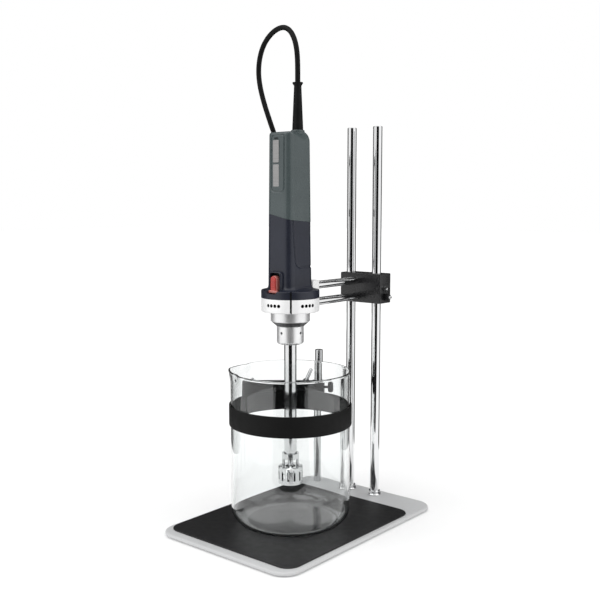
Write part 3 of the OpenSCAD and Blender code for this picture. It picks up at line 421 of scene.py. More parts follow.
def makeClearGlass():
    # blown glass: slow waves in the wall and a trace of haze
    material, tree, shader = newFinish("clearGlass", {"Transmission Weight": 1.0, "IOR": 1.47})
    tint(tree, shader, grain(tree, 5), (0.955, 0.972, 0.97), (0.975, 0.985, 0.984))
    roughen(tree, shader, grain(tree, 22), 0.0, 0.012)
    emboss(tree, shader, grain(tree, 16, (1, 1, 0.35), 1.0), 0.25 * mm, 0.25)
    return material


strapBand = makeStrapBand()
labelFilm = makeLabelFilm()
clearGlass = makeClearGlass()
print("finishes:", len(bpy.data.materials))


# places read from the frame, in metres

def boxOf(node):
    lo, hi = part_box(node)
    return np.array(lo), np.array(hi)


def upright(node):
    # middle in plan, radius, foot and top of a round node that stands up
    lo, hi = boxOf(node)
    return (lo + hi)[:2] / 2, (hi - lo)[0] / 2, lo[2], hi[2]


def footOf(lo, hi):
    # middle of a box's foot
    return np.array([*(lo + hi)[:2] / 2, lo[2]])


def block(lo, hi, corner, edge):
    # block with round corners and soft edges that fills a box
    size = hi - lo
    return slab(size[0], size[1], corner, softRim(size[2], edge), footOf(lo, hi))


def levelRay(degrees):
    # level direction at an angle from the x axis
    return np.array([math.cos(math.radians(degrees)), math.sin(math.radians(degrees)), 0])


toolMiddle, tubeRadius, tubeFoot, tubeTop = upright("stator_tube")
toolAxis = np.array([*toolMiddle, 0])
along = levelRay(40)  # the holder's bar runs along this direction
away = np.array([-along[1], along[0], 0])
bodyFlange = 11.5 * mm  # height of the round flange at the housing's foot


def held(x, y, z):
    # a place in the holder's frame, which is turned about the tool's axis
    return toolAxis + x * along + y * away + z * upAxis


# mains lead first: its arch is a list of points, and its hank a formula, both as in the CAD

lead = {"diameter": 7.5 * mm, "length": 1.83, "spacing": 3 * mm,
        "arch": [(2, -12, 684), (-1, -11, 702), (-6.5, -10, 716), (-15, -9, 727), (-27, -8, 733),
                 (-40, -8, 732), (-54, -8, 725), (-66, -8, 713), (-74, -8, 696), (-77, -8, 676),
                 (-75, -8, 657), (-69, -8, 636), (-60.5, -8.4, 615), (-54, -6.8, 597), (-50.2, -2, 580),
                 (-47.2, 5, 564), (-45, 12.3, 551)]}
hank = {"turns": 3.3, "inner": 24 * mm, "step": 9.2 * mm, "layer": 8.4 * mm, "half": 60 * mm,
        "waist": 14 * mm, "tail": 46 * mm, "near": 61 * mm, "runShare": 0.3, "rise": 112 * mm, "stations": 80}


def hankPath():
    # spiral in and out in two layers: straight runs drawn in at the waist as cos², joined by half circles
    t = np.linspace(0, hank["turns"], int(hank["turns"] * hank["stations"]))
    half, share = hank["half"], hank["runShare"]
    fold = 0.5 - share
    radius = hank["inner"] + hank["step"] * np.abs(t - hank["turns"] / 2)
    layer = hank["layer"] * (smoothStep(0, 1, (t - hank["turns"] / 2) * 2 + 0.5) - 0.5)
    f = t % 1
    f[-1] = share  # the last station ends its run
    down = half - 2 * half * f / share
    upwards = -half + 2 * half * (f - 0.5) / share
    lower = np.pi * (f - share) / fold
    upper = np.pi * (f - 0.5 - share) / fold
    draw = [hank["waist"] * np.cos(np.pi / 2 * v / half) ** 2 for v in (down, upwards)]
    parts = [f <= share, f < 0.5, f < 0.5 + share]
    out = np.select(parts, [draw[0] - radius, -radius * np.cos(lower), radius - draw[1]],
                    radius * np.cos(upper))
    lift = np.select(parts, [down, -half - radius * np.sin(lower), upwards], half + radius * np.sin(upper))
    middle = hank["near"] + hank["inner"] + hank["step"] * hank["turns"] / 2
    spine = held(0, middle, boxOf("lower_housing")[0][2] + bodyFlange + hank["rise"])
    return spine + out[:, None] * away + layer[:, None] * along + lift[:, None] * upAxis


def splineThrough(spots, spacing):
    # natural cubic spline over the chord lengths, read at an even spacing
    spots = np.asarray(spots, float)
    s = np.concatenate([[0], np.cumsum(np.linalg.norm(np.diff(spots, axis=0), axis=1))])
    h, n = np.diff(s), len(s)
    system, right = np.eye(n), np.zeros((n, 3))
    k = np.arange(1, n - 1)
    system[k, k - 1], system[k, k], system[k, k + 1] = h[:-1], 2 * (h[:-1] + h[1:]), h[1:]
    slope = np.diff(spots, axis=0) / h[:, None]
    right[1:-1] = 6 * np.diff(slope, axis=0)
    bend = np.linalg.solve(system, right)
    at = np.linspace(0, s[-1], int(s[-1] / spacing))
    i = np.clip(np.searchsorted(s, at) - 1, 0, n - 2)
    a, b, gap = (s[i + 1] - at)[:, None], (at - s[i])[:, None], h[i][:, None]
    curve = (bend[i] * a ** 3 + bend[i + 1] * b ** 3) / (6 * gap)
    return curve + (spots[i] / gap - bend[i] * gap / 6) * a + (spots[i + 1] / gap - bend[i + 1] * gap / 6) * b


def tubeAlong(path, radius, side, around=20):
    # circle carried along a path; one spoke stays nearest to the given side
    ahead = unit(np.gradient(path, axis=0))
    spoke = unit(np.asarray(side) - (ahead @ side)[:, None] * ahead)
    other = np.cross(ahead, spoke)
    turn = np.linspace(0, 2 * np.pi, around, endpoint=False)[None, :, None]
    return shell(path[:, None] + radius * (np.cos(turn) * spoke[:, None] + np.sin(turn) * other[:, None]))


reliefMiddle, reliefRadius, reliefFoot, reliefTop = upright("strain_relief")
leadExit = np.array([*reliefMiddle, reliefTop])
wound = hankPath()
dropIn = lead["diameter"] * upAxis  # the lead runs straight for one diameter at both ends of its arch
archSpots = [leadExit, leadExit + dropIn, *(np.array(lead["arch"]) * mm), wound[0] + dropIn, wound[0]]
archPath = splineThrough(archSpots, lead["spacing"])
tail = wound[-1] - np.linspace(0, hank["tail"], 12)[1:, None] * upAxis
leadPath = np.concatenate([archPath[:-1], wound, tail])
leadCord = piece("leadCord", [tubeAlong(leadPath, lead["diameter"] / 2, along)], cordRubber, "motor_carriage",
                 ["cord_lead", "cord_hank"])

plugLook = {"width": 34 * mm, "thick": 24 * mm, "height": 36 * mm, "corner": 8 * mm, "edge": 3 * mm,
            "neck": 6.5 * mm, "neckHeight": 8 * mm, "pin": 2.4 * mm, "pinGap": 19 * mm, "pinLength": 19 * mm,
            "pinRound": 1.2 * mm, "bite": 10 * mm, "gripInset": 6 * mm, "gripThick": 1.6 * mm,
            "gripRound": 0.7 * mm, "gripLong": 26 * mm, "gripEdge": 0.6 * mm, "gripRise": 5 * mm}
plugTop = leadPath[-1]
plugFoot = plugTop - (plugLook["neckHeight"] + plugLook["height"]) * upAxis
neck, neckHeight = plugLook["neck"], plugLook["neckHeight"]
neckRibs = rounded([(neck + 1 * mm, -1 * mm, 0), (neck, 2 * mm, 1 * mm), (neck, 6 * mm, 1 * mm),
                    (neck - 1.4 * mm, neckHeight, 0)])
gripRim = softRim(plugLook["gripLong"], plugLook["gripEdge"])
gripSize = (plugLook["width"] - plugLook["gripInset"], plugLook["gripThick"], plugLook["gripRound"])
gripFeet = [plugFoot + side * (plugLook["thick"] / 2) * away + plugLook["gripRise"] * upAxis
            for side in (-1, 1)]
plugGrips = [slab(*gripSize, gripRim, foot, along, away) for foot in gripFeet]
plugBlock = slab(plugLook["width"], plugLook["thick"], plugLook["corner"],
                 softRim(plugLook["height"], plugLook["edge"]), plugFoot, along, away)
plugBody = piece("plugBody", [plugBlock, turned(neckRibs, plugTop - neckHeight * upAxis), *plugGrips],
                 cordRubber, "motor_carriage", ["plug_body"])
pinShape = rounded([(plugLook["pinRound"], -plugLook["pinLength"], 0),
                    (plugLook["pin"], -plugLook["pinLength"], plugLook["pinRound"]),
                    (plugLook["pin"], plugLook["bite"], 0)])
plugPins = piece("plugPins", [turned(pinShape, plugFoot + side * plugLook["pinGap"] / 2 * along)
                              for side in (-1, 1)], platedPin, "motor_carriage", ["plug_pins"])

tieLook = {"height": 12 * mm, "thick": 2 * mm, "play": 0.3 * mm, "corner": 1 * mm, "edge": 0.6 * mm}
tieSpare = lead["diameter"] / 2 + tieLook["play"]
tieHalfOut = hank["inner"] + hank["step"] * hank["turns"] / 2 - hank["waist"] + tieSpare
tieHalfAlong = hank["layer"] / 2 + tieSpare
tieRim = hoop(0, tieLook["thick"], 0, tieLook["height"], tieLook["edge"], tieLook["edge"], steps=4)
tieRings = np.stack([rectRing(2 * (tieHalfAlong + g), 2 * (tieHalfOut + g), tieLook["corner"] + g)
                     for g in tieRim[:, 0]])
tieFlat = tieRings[..., :1] * along + tieRings[..., 1:] * away + tieRim[:, 1, None, None] * upAxis
cordTie = piece("cordTie", [shell(footOf(*boxOf("cord_tie")) + tieFlat, loop=True)], blackPlastic,
                "motor_carriage", ["cord_tie"])

reliefLook = {"seat": 4 * mm, "radius": 8 * mm, "rise": 1 * mm, "tip": 5.3 * mm, "tipDrop": 5 * mm,
              "lip": 7.6 * mm, "lipHigh": 1.6 * mm, "lipRound": 0.7 * mm}
bodyTop = boxOf("upper_housing")[1][2]
reliefShape = rounded([(reliefRadius, reliefFoot, 0), (reliefRadius, bodyTop - reliefLook["seat"], 0),
                       (reliefLook["radius"], bodyTop - reliefLook["seat"], 0),
                       (reliefLook["radius"], bodyTop + reliefLook["rise"], 2 * mm),
                       (reliefLook["tip"], reliefTop - reliefLook["tipDrop"], 3 * mm),
                       (reliefLook["lip"], reliefTop - reliefLook["lipHigh"], reliefLook["lipRound"]),
                       (reliefLook["lip"], reliefTop, reliefLook["lipRound"]),
                       (lead["diameter"] / 2, reliefTop, 0)])
piece("strainRelief", [turned(reliefShape, (*reliefMiddle, 0))], cordRubber, "motor_carriage",
      ["strain_relief"])
print("lead and plug made")

# stand: plate, mat, columns, collars and post

plateLook = {"corner": 28 * mm, "matCorner": 20 * mm, "matEdge": 0.7 * mm, "matInset": 7.5 * mm,
             "padRadius": 12.05 * mm, "padReach": 12 * mm, "boltSink": 3.5 * mm, "boltWell": 7 * mm,
             "past": 1 * mm}
plateLo, plateHi = boxOf("base_plate")
plateSize = plateHi - plateLo
padLo, padHi = boxOf("foot_pads")
edgeTurn = np.linspace(-np.pi / 2, np.pi / 2, 15)
bullnose = plateSize[2] / 2 * np.stack([1 - np.cos(edgeTurn), 1 + np.sin(edgeTurn)], -1)
columns = {name: upright(name) for name in ("column_left", "column_right", "holder_post")}
reach, below = plateLook["padReach"], plateLo[2] - plateLook["past"]
wells = [cylinder(plateLook["padRadius"], (x, y, below), (x, y, padHi[2]))
         for x in (padLo[0] + reach, padHi[0] - reach) for y in (padLo[1] + reach, padHi[1] - reach)]
wells += [cylinder(plateLook["boltWell"], (*spot, below), (*spot, plateLo[2] + plateLook["boltSink"]))
          for spot, *_ in columns.values()]
plateShell = slab(plateSize[0], plateSize[1], plateLook["corner"], bullnose, (0, 0, plateLo[2]))
piece("basePlate", [plateShell], platePaint, "stand", ["base_plate"], wells)

matLo, matHi = boxOf("rubber_mat")
matLo[1] += plateLook["matInset"]  # the photographed mat ends further from the front edge
piece("rubberMat", [block(matLo, matHi, plateLook["matCorner"], plateLook["matEdge"])], matRubber, "stand",
      ["rubber_mat"])

columnLook = {"chamfer": 0.5 * mm, "round": 0.2 * mm, "collar": 10.5 * mm, "collarHeight": 8 * mm,
              "collarStep": 1.2 * mm, "run": 0.02 * mm, "grub": 2 * mm, "grubLong": 3.2 * mm,
              "grubSink": 2.4 * mm, "grubRise": 5.4 * mm, "grubRay": (1, -0.1, 0)}
pieceNames = {"column_left": "columnLeft", "column_right": "columnRight", "holder_post": "holderPost"}
for node, (spot, radius, foot, top) in columns.items():
    chamfer = columnLook["chamfer"]
    shape = rounded([(radius, foot, 0), (radius, top - chamfer, columnLook["round"]),
                     (radius - chamfer, top, columnLook["round"]), (radius / 2, top, 0)])
    # the holder post takes the chrome painted darker, as painted dark reflections
    finish = darkReflectionChrome if node == "holder_post" else chrome
    piece(pieceNames[node], [turned(shape, (*spot, 0))], finish, "stand", [node])
collarShells, grubShells = [], []
for node in ("column_left", "column_right"):
    spot, radius, foot, _ = columns[node]
    bore, wide, tall = radius + columnLook["run"], columnLook["collar"], columnLook["collarHeight"]
    waist = wide - columnLook["collarStep"]
    collarShape = rounded([(bore, 0, 0), (wide, 0, 0.5 * mm), (wide, 2 * mm, 0.6 * mm),
                           (waist, 3.4 * mm, 1 * mm), (waist, tall, 0.8 * mm), (bore, tall, 0)], loop=True)
    collarShells.append(turned(collarShape, (*spot, foot), loop=True))
    grubFoot = (spot[0] + wide - columnLook["grubSink"], spot[1], foot + columnLook["grubRise"])
    grubShape = rounded([(columnLook["grub"], 0, 0), (columnLook["grub"], columnLook["grubLong"], 0.5 * mm),
                         (0.8 * mm, columnLook["grubLong"], 0)])
    grubShells.append(turned(grubShape, grubFoot, columnLook["grubRay"], around=24))
piece("columnCollars", collarShells, chrome, "stand", ["column_collars"])
piece("collarGrubs", grubShells, darkSteel, "stand", ())
print("stand made")

# clamp block, arms and bracket

clampLook = {"edge": 1.3 * mm, "corner": 1.6 * mm, "run": 0.05 * mm, "shift": (2.2 * mm, 1.9 * mm),
             "trimFoot": 1.8 * mm, "trimTop": 1.2 * mm, "columnPast": 5 * mm, "screwHole": 2.55 * mm,
             "screwPast": 3 * mm, "arm": 6 * mm, "armChamfer": 0.6 * mm, "armRound": 0.2 * mm,
             "bracketCorner": 1.5 * mm, "bracketEdge": 1 * mm}
blockLo, blockHi = boxOf("clamp_block")
blockLo[:2] += clampLook["shift"]
blockHi[:2] += clampLook["shift"]
blockLo[2] += clampLook["trimFoot"]
blockHi[2] -= clampLook["trimTop"]
clampHoles = []
for node in ("column_left", "column_right"):
    spot, radius, *_ = columns[node]
    low, high = blockLo[2] - clampLook["columnPast"], blockHi[2] + clampLook["columnPast"]
    clampHoles.append(cylinder(radius + clampLook["run"], (*spot, low), (*spot, high), 96))
for node in ("pinch_screw", "clamp_stem"):
    lo, hi = boxOf(node)
    y, z = (lo + hi)[1:] / 2
    start, end = lo[0] - clampLook["screwPast"], blockHi[0] + clampLook["screwPast"]
    clampHoles.append(cylinder(clampLook["screwHole"], (start, y, z), (end, y, z)))
piece("clampBlock", [block(blockLo, blockHi, clampLook["corner"], clampLook["edge"])], blackPaint,
      "motor_carriage", ["clamp_block"], clampHoles)
for name, node in (("armUpper", "arm_upper"), ("armLower", "arm_lower")):
    lo, hi = boxOf(node)
    radius, long = clampLook["arm"], (hi - lo)[1]
    chamfer, soft = clampLook["armChamfer"], clampLook["armRound"]
    shape = rounded([(radius - chamfer, 0, 0), (radius, chamfer, soft), (radius, long - chamfer, soft),
                     (radius - chamfer, long, 0)])
    armShell = turned(shape, (0, lo[1], (lo + hi)[2] / 2), backAxis)
    piece(name, [armShell], chrome, "motor_carriage", [node])
piece("rearBracket", [block(*boxOf("rear_bracket"), clampLook["bracketCorner"], clampLook["bracketEdge"])],
      satinAlloy, "motor_carriage", ["rear_bracket"])

knobLook = {"bore": 2.52 * mm, "flutes": 18, "depth": 0.7 * mm, "backRound": 0.8 * mm, "frontRound": 1.4 * mm,
            "stem": 2.5 * mm, "stemChamfer": 0.5 * mm, "stemRound": 1 * mm}
knobLo, knobHi = boxOf("clamp_knob")
knobRadius, knobLong = (knobHi - knobLo)[1] / 2, (knobHi - knobLo)[0]
knobShape = rounded([(knobLook["bore"], 0, 0), (knobRadius, 0, knobLook["backRound"]),
                     (knobRadius, knobLong, knobLook["frontRound"]), (knobLook["bore"], knobLong, 0)],
                    loop=True)
knobFoot = (knobLo[0] + clampLook["shift"][0], *(knobLo + knobHi)[1:] / 2)
knobShell = turned(knobShape, knobFoot, acrossAxis, True, 144, knobLook["flutes"], knobLook["depth"])
piece("clampKnob", [knobShell], blackPlastic, "height_knob", ["clamp_knob"])
stemLo, stemHi = boxOf("clamp_stem")
stemLong, stem = (stemHi - stemLo)[0] + clampLook["shift"][0], knobLook["stem"]
stemShape = rounded([(stem - knobLook["stemChamfer"], 0, 0), (stem, knobLook["stemChamfer"], 0),
                     (stem, stemLong, knobLook["stemRound"]), (1 * mm, stemLong, 0)])
stemFoot = (stemLo[0], *(stemLo + stemHi)[1:] / 2)
piece("clampStem", [turned(stemShape, stemFoot, acrossAxis)], chrome, "height_knob", ["clamp_stem"])
smoothCopy("pinchScrew", "pinch_screw", chrome, "pinch_bolt", shift=(clampLook["shift"][0], 0, 0))
print("clamp made")

# vented ring, nose and socket

ringRadius, ringFoot, ringTop = upright("vent_ring")[1:]
plateRadius, coneFoot, noseTop = upright("nose_cone")[1:]
socketRadius, socketFoot, socketTop = upright("tube_socket")[1:]
noseLook = {"ringBore": 31 * mm, "lipBore": 29.25 * mm, "lip": 2 * mm, "ringFootRound": 1.8 * mm,
            "ventRadius": 2.5 * mm, "ventPitch": 8.3, "ventGroups": (-84.7, -12.7, 59.3, 131.3, 203.3),
            "ventSteps": (-1.5, -0.5, 0.5, 1.5), "ventShare": 0.55, "ventSkin": 0.25 * mm,
            "ventDrill": (29 * mm, 44 * mm), "reflectionLineTurn": -48.2, "reflectionLineWide": 2.8 * mm, "reflectionLineDeep": 3 * mm,
            "reflectionLineSink": 0.7 * mm, "reflectionLineRound": 0.3 * mm, "shadeLinerRadius": 30.7 * mm, "shadeLinerFoot": 7.5 * mm,
            "shadeLinerWall": 0.5 * mm, "step": 28.75 * mm, "stepRound": 1.2 * mm, "cone": 8 * mm,
            "bandSpan": (0.04, 0.88), "bandLift": (-0.3 * mm, 0.06 * mm), "bore": 8 * mm,
            "bearing": 14.02 * mm, "bearingHeight": 8 * mm, "socketEdge": 4.4 * mm, "socketLift": 2.6 * mm,
            "socketRun": 0.02 * mm, "grub": 2.02 * mm, "grubHeight": 20 * mm, "grubReach": 22 * mm,
            "grubTurns": (0, 90, 180, 270), "tubeWall": 1.5 * mm, "softEdge": 0.3 * mm}


def spokeHole(radius, angle, height, inner, outer):
    # hole drilled towards the tool's axis at an angle in degrees
    ray, lift = levelRay(angle), height * upAxis
    return cylinder(radius, toolAxis + inner * ray + lift, toolAxis + outer * ray + lift, 24)


def ventShadeSleeve(angle, height):
    # thin dark tube that lines one vent, just inside its hole and short of the ring's face: painted shade
    # that makes the vent read black
    ray, radius = levelRay(angle), noseLook["ventRadius"]
    long = ringRadius - noseLook["ringBore"] - 0.5 * mm
    shadeSleeve = hoop(radius - noseLook["ventSkin"], radius - 0.01 * mm, 0, long)
    return turned(shadeSleeve, toolAxis + noseLook["ringBore"] * ray + height * upAxis, ray, loop=True, around=24)


def reflectionLineBar(inner, outer, low, high):
    # upright bar through the round rim, at the angle that faces the camera, where a groove with a black shim
    # draws a painted dark reflection line
    ray = levelRay(noseLook["reflectionLineTurn"])
    foot = toolAxis + (inner + outer) / 2 * ray + low * upAxis
    return slab(noseLook["reflectionLineWide"], outer - inner, noseLook["reflectionLineRound"], [(0, 0), (0, high - low)], foot,
                np.array([ray[1], -ray[0], 0]), ray)


def reflectionLineGroove(low, high):
    return reflectionLineBar(ringRadius - noseLook["reflectionLineDeep"], ringRadius + noseLook["reflectionLineDeep"], low, high)


softEdge, lipTop = noseLook["softEdge"], ringFoot + noseLook["lip"]
ringShape = rounded([(noseLook["lipBore"], ringFoot, softEdge),
                     (ringRadius, ringFoot, noseLook["ringFootRound"]), (ringRadius, ringTop, softEdge),
                     (noseLook["ringBore"], ringTop, 0),
                     (noseLook["ringBore"], lipTop, 0), (noseLook["lipBore"], lipTop, 0)], loop=True)
ventHeight = ringFoot + noseLook["ventShare"] * (ringTop - ringFoot)
ventTurns = [group + step * noseLook["ventPitch"] for group in noseLook["ventGroups"]
             for step in noseLook["ventSteps"]]
vents = [spokeHole(noseLook["ventRadius"], turn, ventHeight, *noseLook["ventDrill"]) for turn in ventTurns]
piece("ventRing", [turned(ringShape, toolAxis, loop=True, around=160)], satinAlloy, "motor_carriage",
      ["vent_ring"], vents + [reflectionLineGroove(ringFoot - 1 * mm, ringTop + 1 * mm)])
# black tube in the ring's bore and black sleeves in the vents: painted shade, so that the vents read dark
shadeLinerShape = hoop(noseLook["shadeLinerRadius"] - noseLook["shadeLinerWall"], noseLook["shadeLinerRadius"],
                  ringFoot + noseLook["shadeLinerFoot"], ringTop - 0.5 * mm)
ventShadeSleeves = [ventShadeSleeve(turn, ventHeight) for turn in ventTurns]
piece("ventShadeLiner", [turned(shadeLinerShape, toolAxis, loop=True), *ventShadeSleeves], blackPlastic, "motor_carriage", ())
# black shim in the groove, up through ring and flange: painted dark reflection line
lineShimInner, lineShimOuter = ringRadius - noseLook["reflectionLineDeep"] - 0.5 * mm, ringRadius - noseLook["reflectionLineSink"]
piece("reflectionLineShim", [reflectionLineBar(lineShimInner, lineShimOuter, ringFoot + 2 * mm, ringTop + bodyFlange - 1.5 * mm)],
      blackPlastic, "motor_carriage", ())
pocket = noseTop - noseLook["bearingHeight"]
noseShape = rounded([(noseLook["bore"], coneFoot, 0), (socketRadius, coneFoot, 0),
                     (noseLook["step"], coneFoot + noseLook["cone"], noseLook["stepRound"]),
                     (noseLook["step"], lipTop, 0), (plateRadius, lipTop, 0),
                     (plateRadius, noseTop, 0.4 * mm), (noseLook["bearing"], noseTop, 0),
                     (noseLook["bearing"], pocket, 0), (noseLook["bore"], pocket, 0)], loop=True)
piece("noseCone", [turned(noseShape, toolAxis, loop=True, around=128)], turnedAlloy, "motor_carriage",
      ["nose_cone"])
coneLine = np.array([noseLook["step"] - socketRadius, noseLook["cone"]])
coneOut = unit(np.array([coneLine[1], -coneLine[0]]))
(low, high), (sunk, proud) = noseLook["bandSpan"], noseLook["bandLift"]
coneSkin = [np.array([socketRadius, coneFoot]) + share * coneLine + lift * coneOut
            for share, lift in ((low, sunk), (low, proud), (high, proud), (high, sunk))]
piece("noseBand", [turned(coneSkin, toolAxis, loop=True, around=128)], smokedAlloy, "motor_carriage", ())
bore, socketLow = tubeRadius + noseLook["socketRun"], socketFoot + noseLook["socketLift"]
socketShape = rounded([(bore, socketLow, 0.5 * mm), (socketRadius, socketLow, noseLook["socketEdge"]),
                       (socketRadius, socketTop, 0.5 * mm), (bore, socketTop, 0)], loop=True)
grubHoles = [spokeHole(noseLook["grub"], angle, socketFoot + noseLook["grubHeight"], tubeRadius - 1 * mm,
                       noseLook["grubReach"]) for angle in noseLook["grubTurns"]]
piece("tubeSocket", [turned(socketShape, toolAxis, loop=True, around=128)], turnedAlloy, "motor_carriage",
      ["tube_socket"], grubHoles)
tubeShape = hoop(tubeRadius - noseLook["tubeWall"], tubeRadius, tubeFoot, tubeTop, softEdge, softEdge)
piece("statorTube", [turned(tubeShape, toolAxis, loop=True)], toolSteel, "motor_carriage", ["stator_tube"])
smoothCopy("statorHead", "stator_head", toolSteel, "motor_carriage")
smoothCopy("rotorHead", "rotor_head", toolSteel, "rotor")
smoothCopy("socketScrews", "socket_screws", darkSteel, "motor_carriage")
print("nose and tool made")

# motor housing: outlines stacked from the flange to the crown, with grooves pressed into the walls

bodyLo, bodyHi = boxOf("upper_housing")
bodyLook = {"width": bodyHi[0] - bodyLo[0], "depth": bodyHi[1] - bodyLo[1], "corner": 11 * mm,
            "wall": 2.5 * mm, "flangeRound": 1.5 * mm, "flangeBevel": 0.3 * mm, "draft": 0.0105,
            "draftFrom": 154 * mm, "seamRise": 104 * mm, "seamTilt": 12.3, "seamDip": 4.2,
            "seamLip": 0.2 * mm, "seamGap": 0.1 * mm, "seamBevel": 0.25 * mm, "shoulder": 7 * mm,
            "chamber": 31 * mm, "roof": 3 * mm, "ceiling": 18 * mm, "backLean": (1.4 * mm, 2.7 * mm),
            "crownSlope": 0.045, "crownFront": (3.5 * mm, 4.5 * mm), "crownBack": (12 * mm, 15 * mm),
            "crownFrom": -12 * mm, "crownTo": 24 * mm, "crownSkew": 0.5, "columns": 420, "rows": 130,
            "gripFront": -20 * mm, "gripLean": 0.09, "gripFoot": 33 * mm, "gripRound": 11 * mm,
            "gripDepth": 0.4 * mm, "gripEase": 1 * mm, "gripGroove": 1.2 * mm, "gripGrooveWide": 1.4 * mm,
            "panelHalf": 12 * mm, "panelFoot": 141 * mm, "panelTop": 221 * mm, "panelRound": 6 * mm,
            "panelGroove": 1.1 * mm, "panelGrooveWide": 1 * mm}
flangeTop = ringTop + bodyFlange
crownTop = bodyHi[2]
outline = evenRing(bodyLook["width"], bodyLook["depth"], bodyLook["corner"], bodyLook["columns"])
polar = unit(outline)
tangent = unit(np.roll(outline, -1, 0) - np.roll(outline, 1, 0))
normal = np.stack([tangent[:, 1], -tangent[:, 0]], -1)
lining = outline - bodyLook["wall"] * normal
seamSlope = np.tan(np.radians([bodyLook["seamTilt"], bodyLook["seamDip"]]))
seam = flangeTop + bodyLook["seamRise"] - outline @ seamSlope


def level(flat, z):
    # one ring of the housing: an outline about the tool's axis at a height, which may vary round the ring
    return np.concatenate([flat + toolMiddle, np.broadcast_to(z, len(flat))[:, None]], 1)


def drafted(z, inset=0.0):
    # the outline moved along its normals: out by the mould's draft, and in at the back by a growing lean
    rise = z - flangeTop
    low, high = bodyLook["backLean"]
    lean = low + (high - low) * rise / (crownTop - flangeTop)
    shift = bodyLook["draft"] * (bodyLook["draftFrom"] - rise) - inset - lean * np.maximum(normal[:, 1], 0)
    return outline + np.broadcast_to(shift, len(outline))[:, None] * normal


def boxDistance(x, z, halfX, low, high, corner):
    # distance outside a rounded rectangle, negative inside
    qx = np.abs(x) - halfX + corner
    qz = np.abs(z - (low + high) / 2) - (high - low) / 2 + corner
    return np.hypot(np.maximum(qx, 0), np.maximum(qz, 0)) + np.minimum(np.maximum(qx, qz), 0) - corner


def lowerDetail(z):
    # inward shift of the lower wall: a sunk grip behind the front corners, with a groove along its edge
    front = bodyLook["gripFront"] + bodyLook["gripLean"] * (flangeTop + bodyLook["seamRise"] - z)
    ahead, rise = outline[None, :, 1] - front, z - flangeTop - bodyLook["gripFoot"]
    bend = bodyLook["gripRound"]
    inside = bend - np.hypot(np.maximum(bend - ahead, 0), np.maximum(bend - rise, 0))
    inside = np.minimum(inside, np.minimum(ahead, rise))
    groove = bodyLook["gripGroove"] * np.exp(-(inside / bodyLook["gripGrooveWide"]) ** 2)
    return bodyLook["gripDepth"] * smoothStep(0, bodyLook["gripEase"], inside) + groove


def upperDetail(z):
    # inward shift of the upper wall: a groove that frames the label on the front face
    gap = boxDistance(outline[None, :, 0], z, bodyLook["panelHalf"], flangeTop + bodyLook["panelFoot"],
                      flangeTop + bodyLook["panelTop"], bodyLook["panelRound"])
    facesFront = normal[None, :, 1] < -0.9
    return bodyLook["panelGroove"] * np.exp(-(gap / bodyLook["panelGrooveWide"]) ** 2) * facesFront


def wall(low, high, detail):
    # rows of the outer wall between two edges that may slope, drafted and cut by the detail
    z = low + np.linspace(0, 1, bodyLook["rows"])[:, None] * (high - low)
    shifts = detail(z)
    return [level(drafted(height, shift), height) for height, shift in zip(z, shifts)]


def disc(radius, z):
    # round ring of the housing
    return level(radius * polar, z)


def lowerHousing():
    # chamber, flange, a shoulder that sweeps in as a quarter ellipse, wall, seam lip and lining
    crest, bevel, chamber = bodyLook["flangeRound"], bodyLook["flangeBevel"], bodyLook["chamber"]
    rings = [disc(chamber, ringTop), disc(ringRadius - bevel, ringTop), disc(ringRadius, ringTop + bevel),
             disc(ringRadius, flangeTop - crest)]
    rings += [disc(ringRadius - crest * (1 - math.cos(a)), flangeTop - crest * (1 - math.sin(a)))
              for a in np.linspace(0, np.pi / 2, 7)[1:]]
    for s in np.linspace(0, 1, 22)[1:-1]:
        z = flangeTop + bodyLook["shoulder"] * (1 - math.sqrt(1 - s * s))
        rings.append(level((1 - s) * (ringRadius - crest) * polar + s * drafted(z), z))
    edge = seam - bodyLook["seamGap"]
    rings += wall(flangeTop + bodyLook["shoulder"], edge - bodyLook["seamBevel"], lowerDetail)
    rings += [level(drafted(seam, bodyLook["seamLip"]), edge), level(lining, edge)]
    roof = flangeTop - bodyLook["roof"]
    rings += [level(lining, roof), disc(chamber, roof)]
    return shell(np.stack(rings), loop=True)


def upperHousing():
    # lining, seam lip, wall, and a crown that slopes to the front and rolls in, more so towards the back
    top = crownTop - bodyLook["crownSlope"] * (outline[:, 1].max() - outline[:, 1])
    behind = outline[:, 1] + bodyLook["crownSkew"] * outline[:, 0]
    back = smoothStep(bodyLook["crownFrom"], bodyLook["crownTo"], behind)
    inward, tall = (a + back * (b - a) for a, b in zip(bodyLook["crownFront"], bodyLook["crownBack"]))
    rings = [level(lining, crownTop - bodyLook["ceiling"]), level(lining, seam),
             level(drafted(seam, bodyLook["seamLip"]), seam)]
    rings += wall(seam + bodyLook["seamBevel"], top - tall, upperDetail)
    for a in np.linspace(0, np.pi / 2, 14)[1:]:
        z = top - tall * (1 - math.sin(a))
        rings.append(level(drafted(z, inward * (1 - math.cos(a))), z))
    return shell(np.stack(rings))


sliderLo, sliderHi = boxOf("switch_slider")
slotLook = {"half": 9.6 * mm, "drop": 4 * mm, "rise": 29.2 * mm, "corner": 4 * mm, "sink": 1 * mm,
            "deep": 24 * mm}
slotLow, slotHigh = flangeTop - slotLook["drop"], sliderLo[2] + slotLook["rise"]
slotFoot = (0, sliderHi[1] - slotLook["sink"], (slotHigh + slotLow) / 2)
slotCutter = faceSlab(2 * slotLook["half"], slotHigh - slotLow, slotLook["corner"],
                      [(0, 0), (0, slotLook["deep"])], slotFoot)
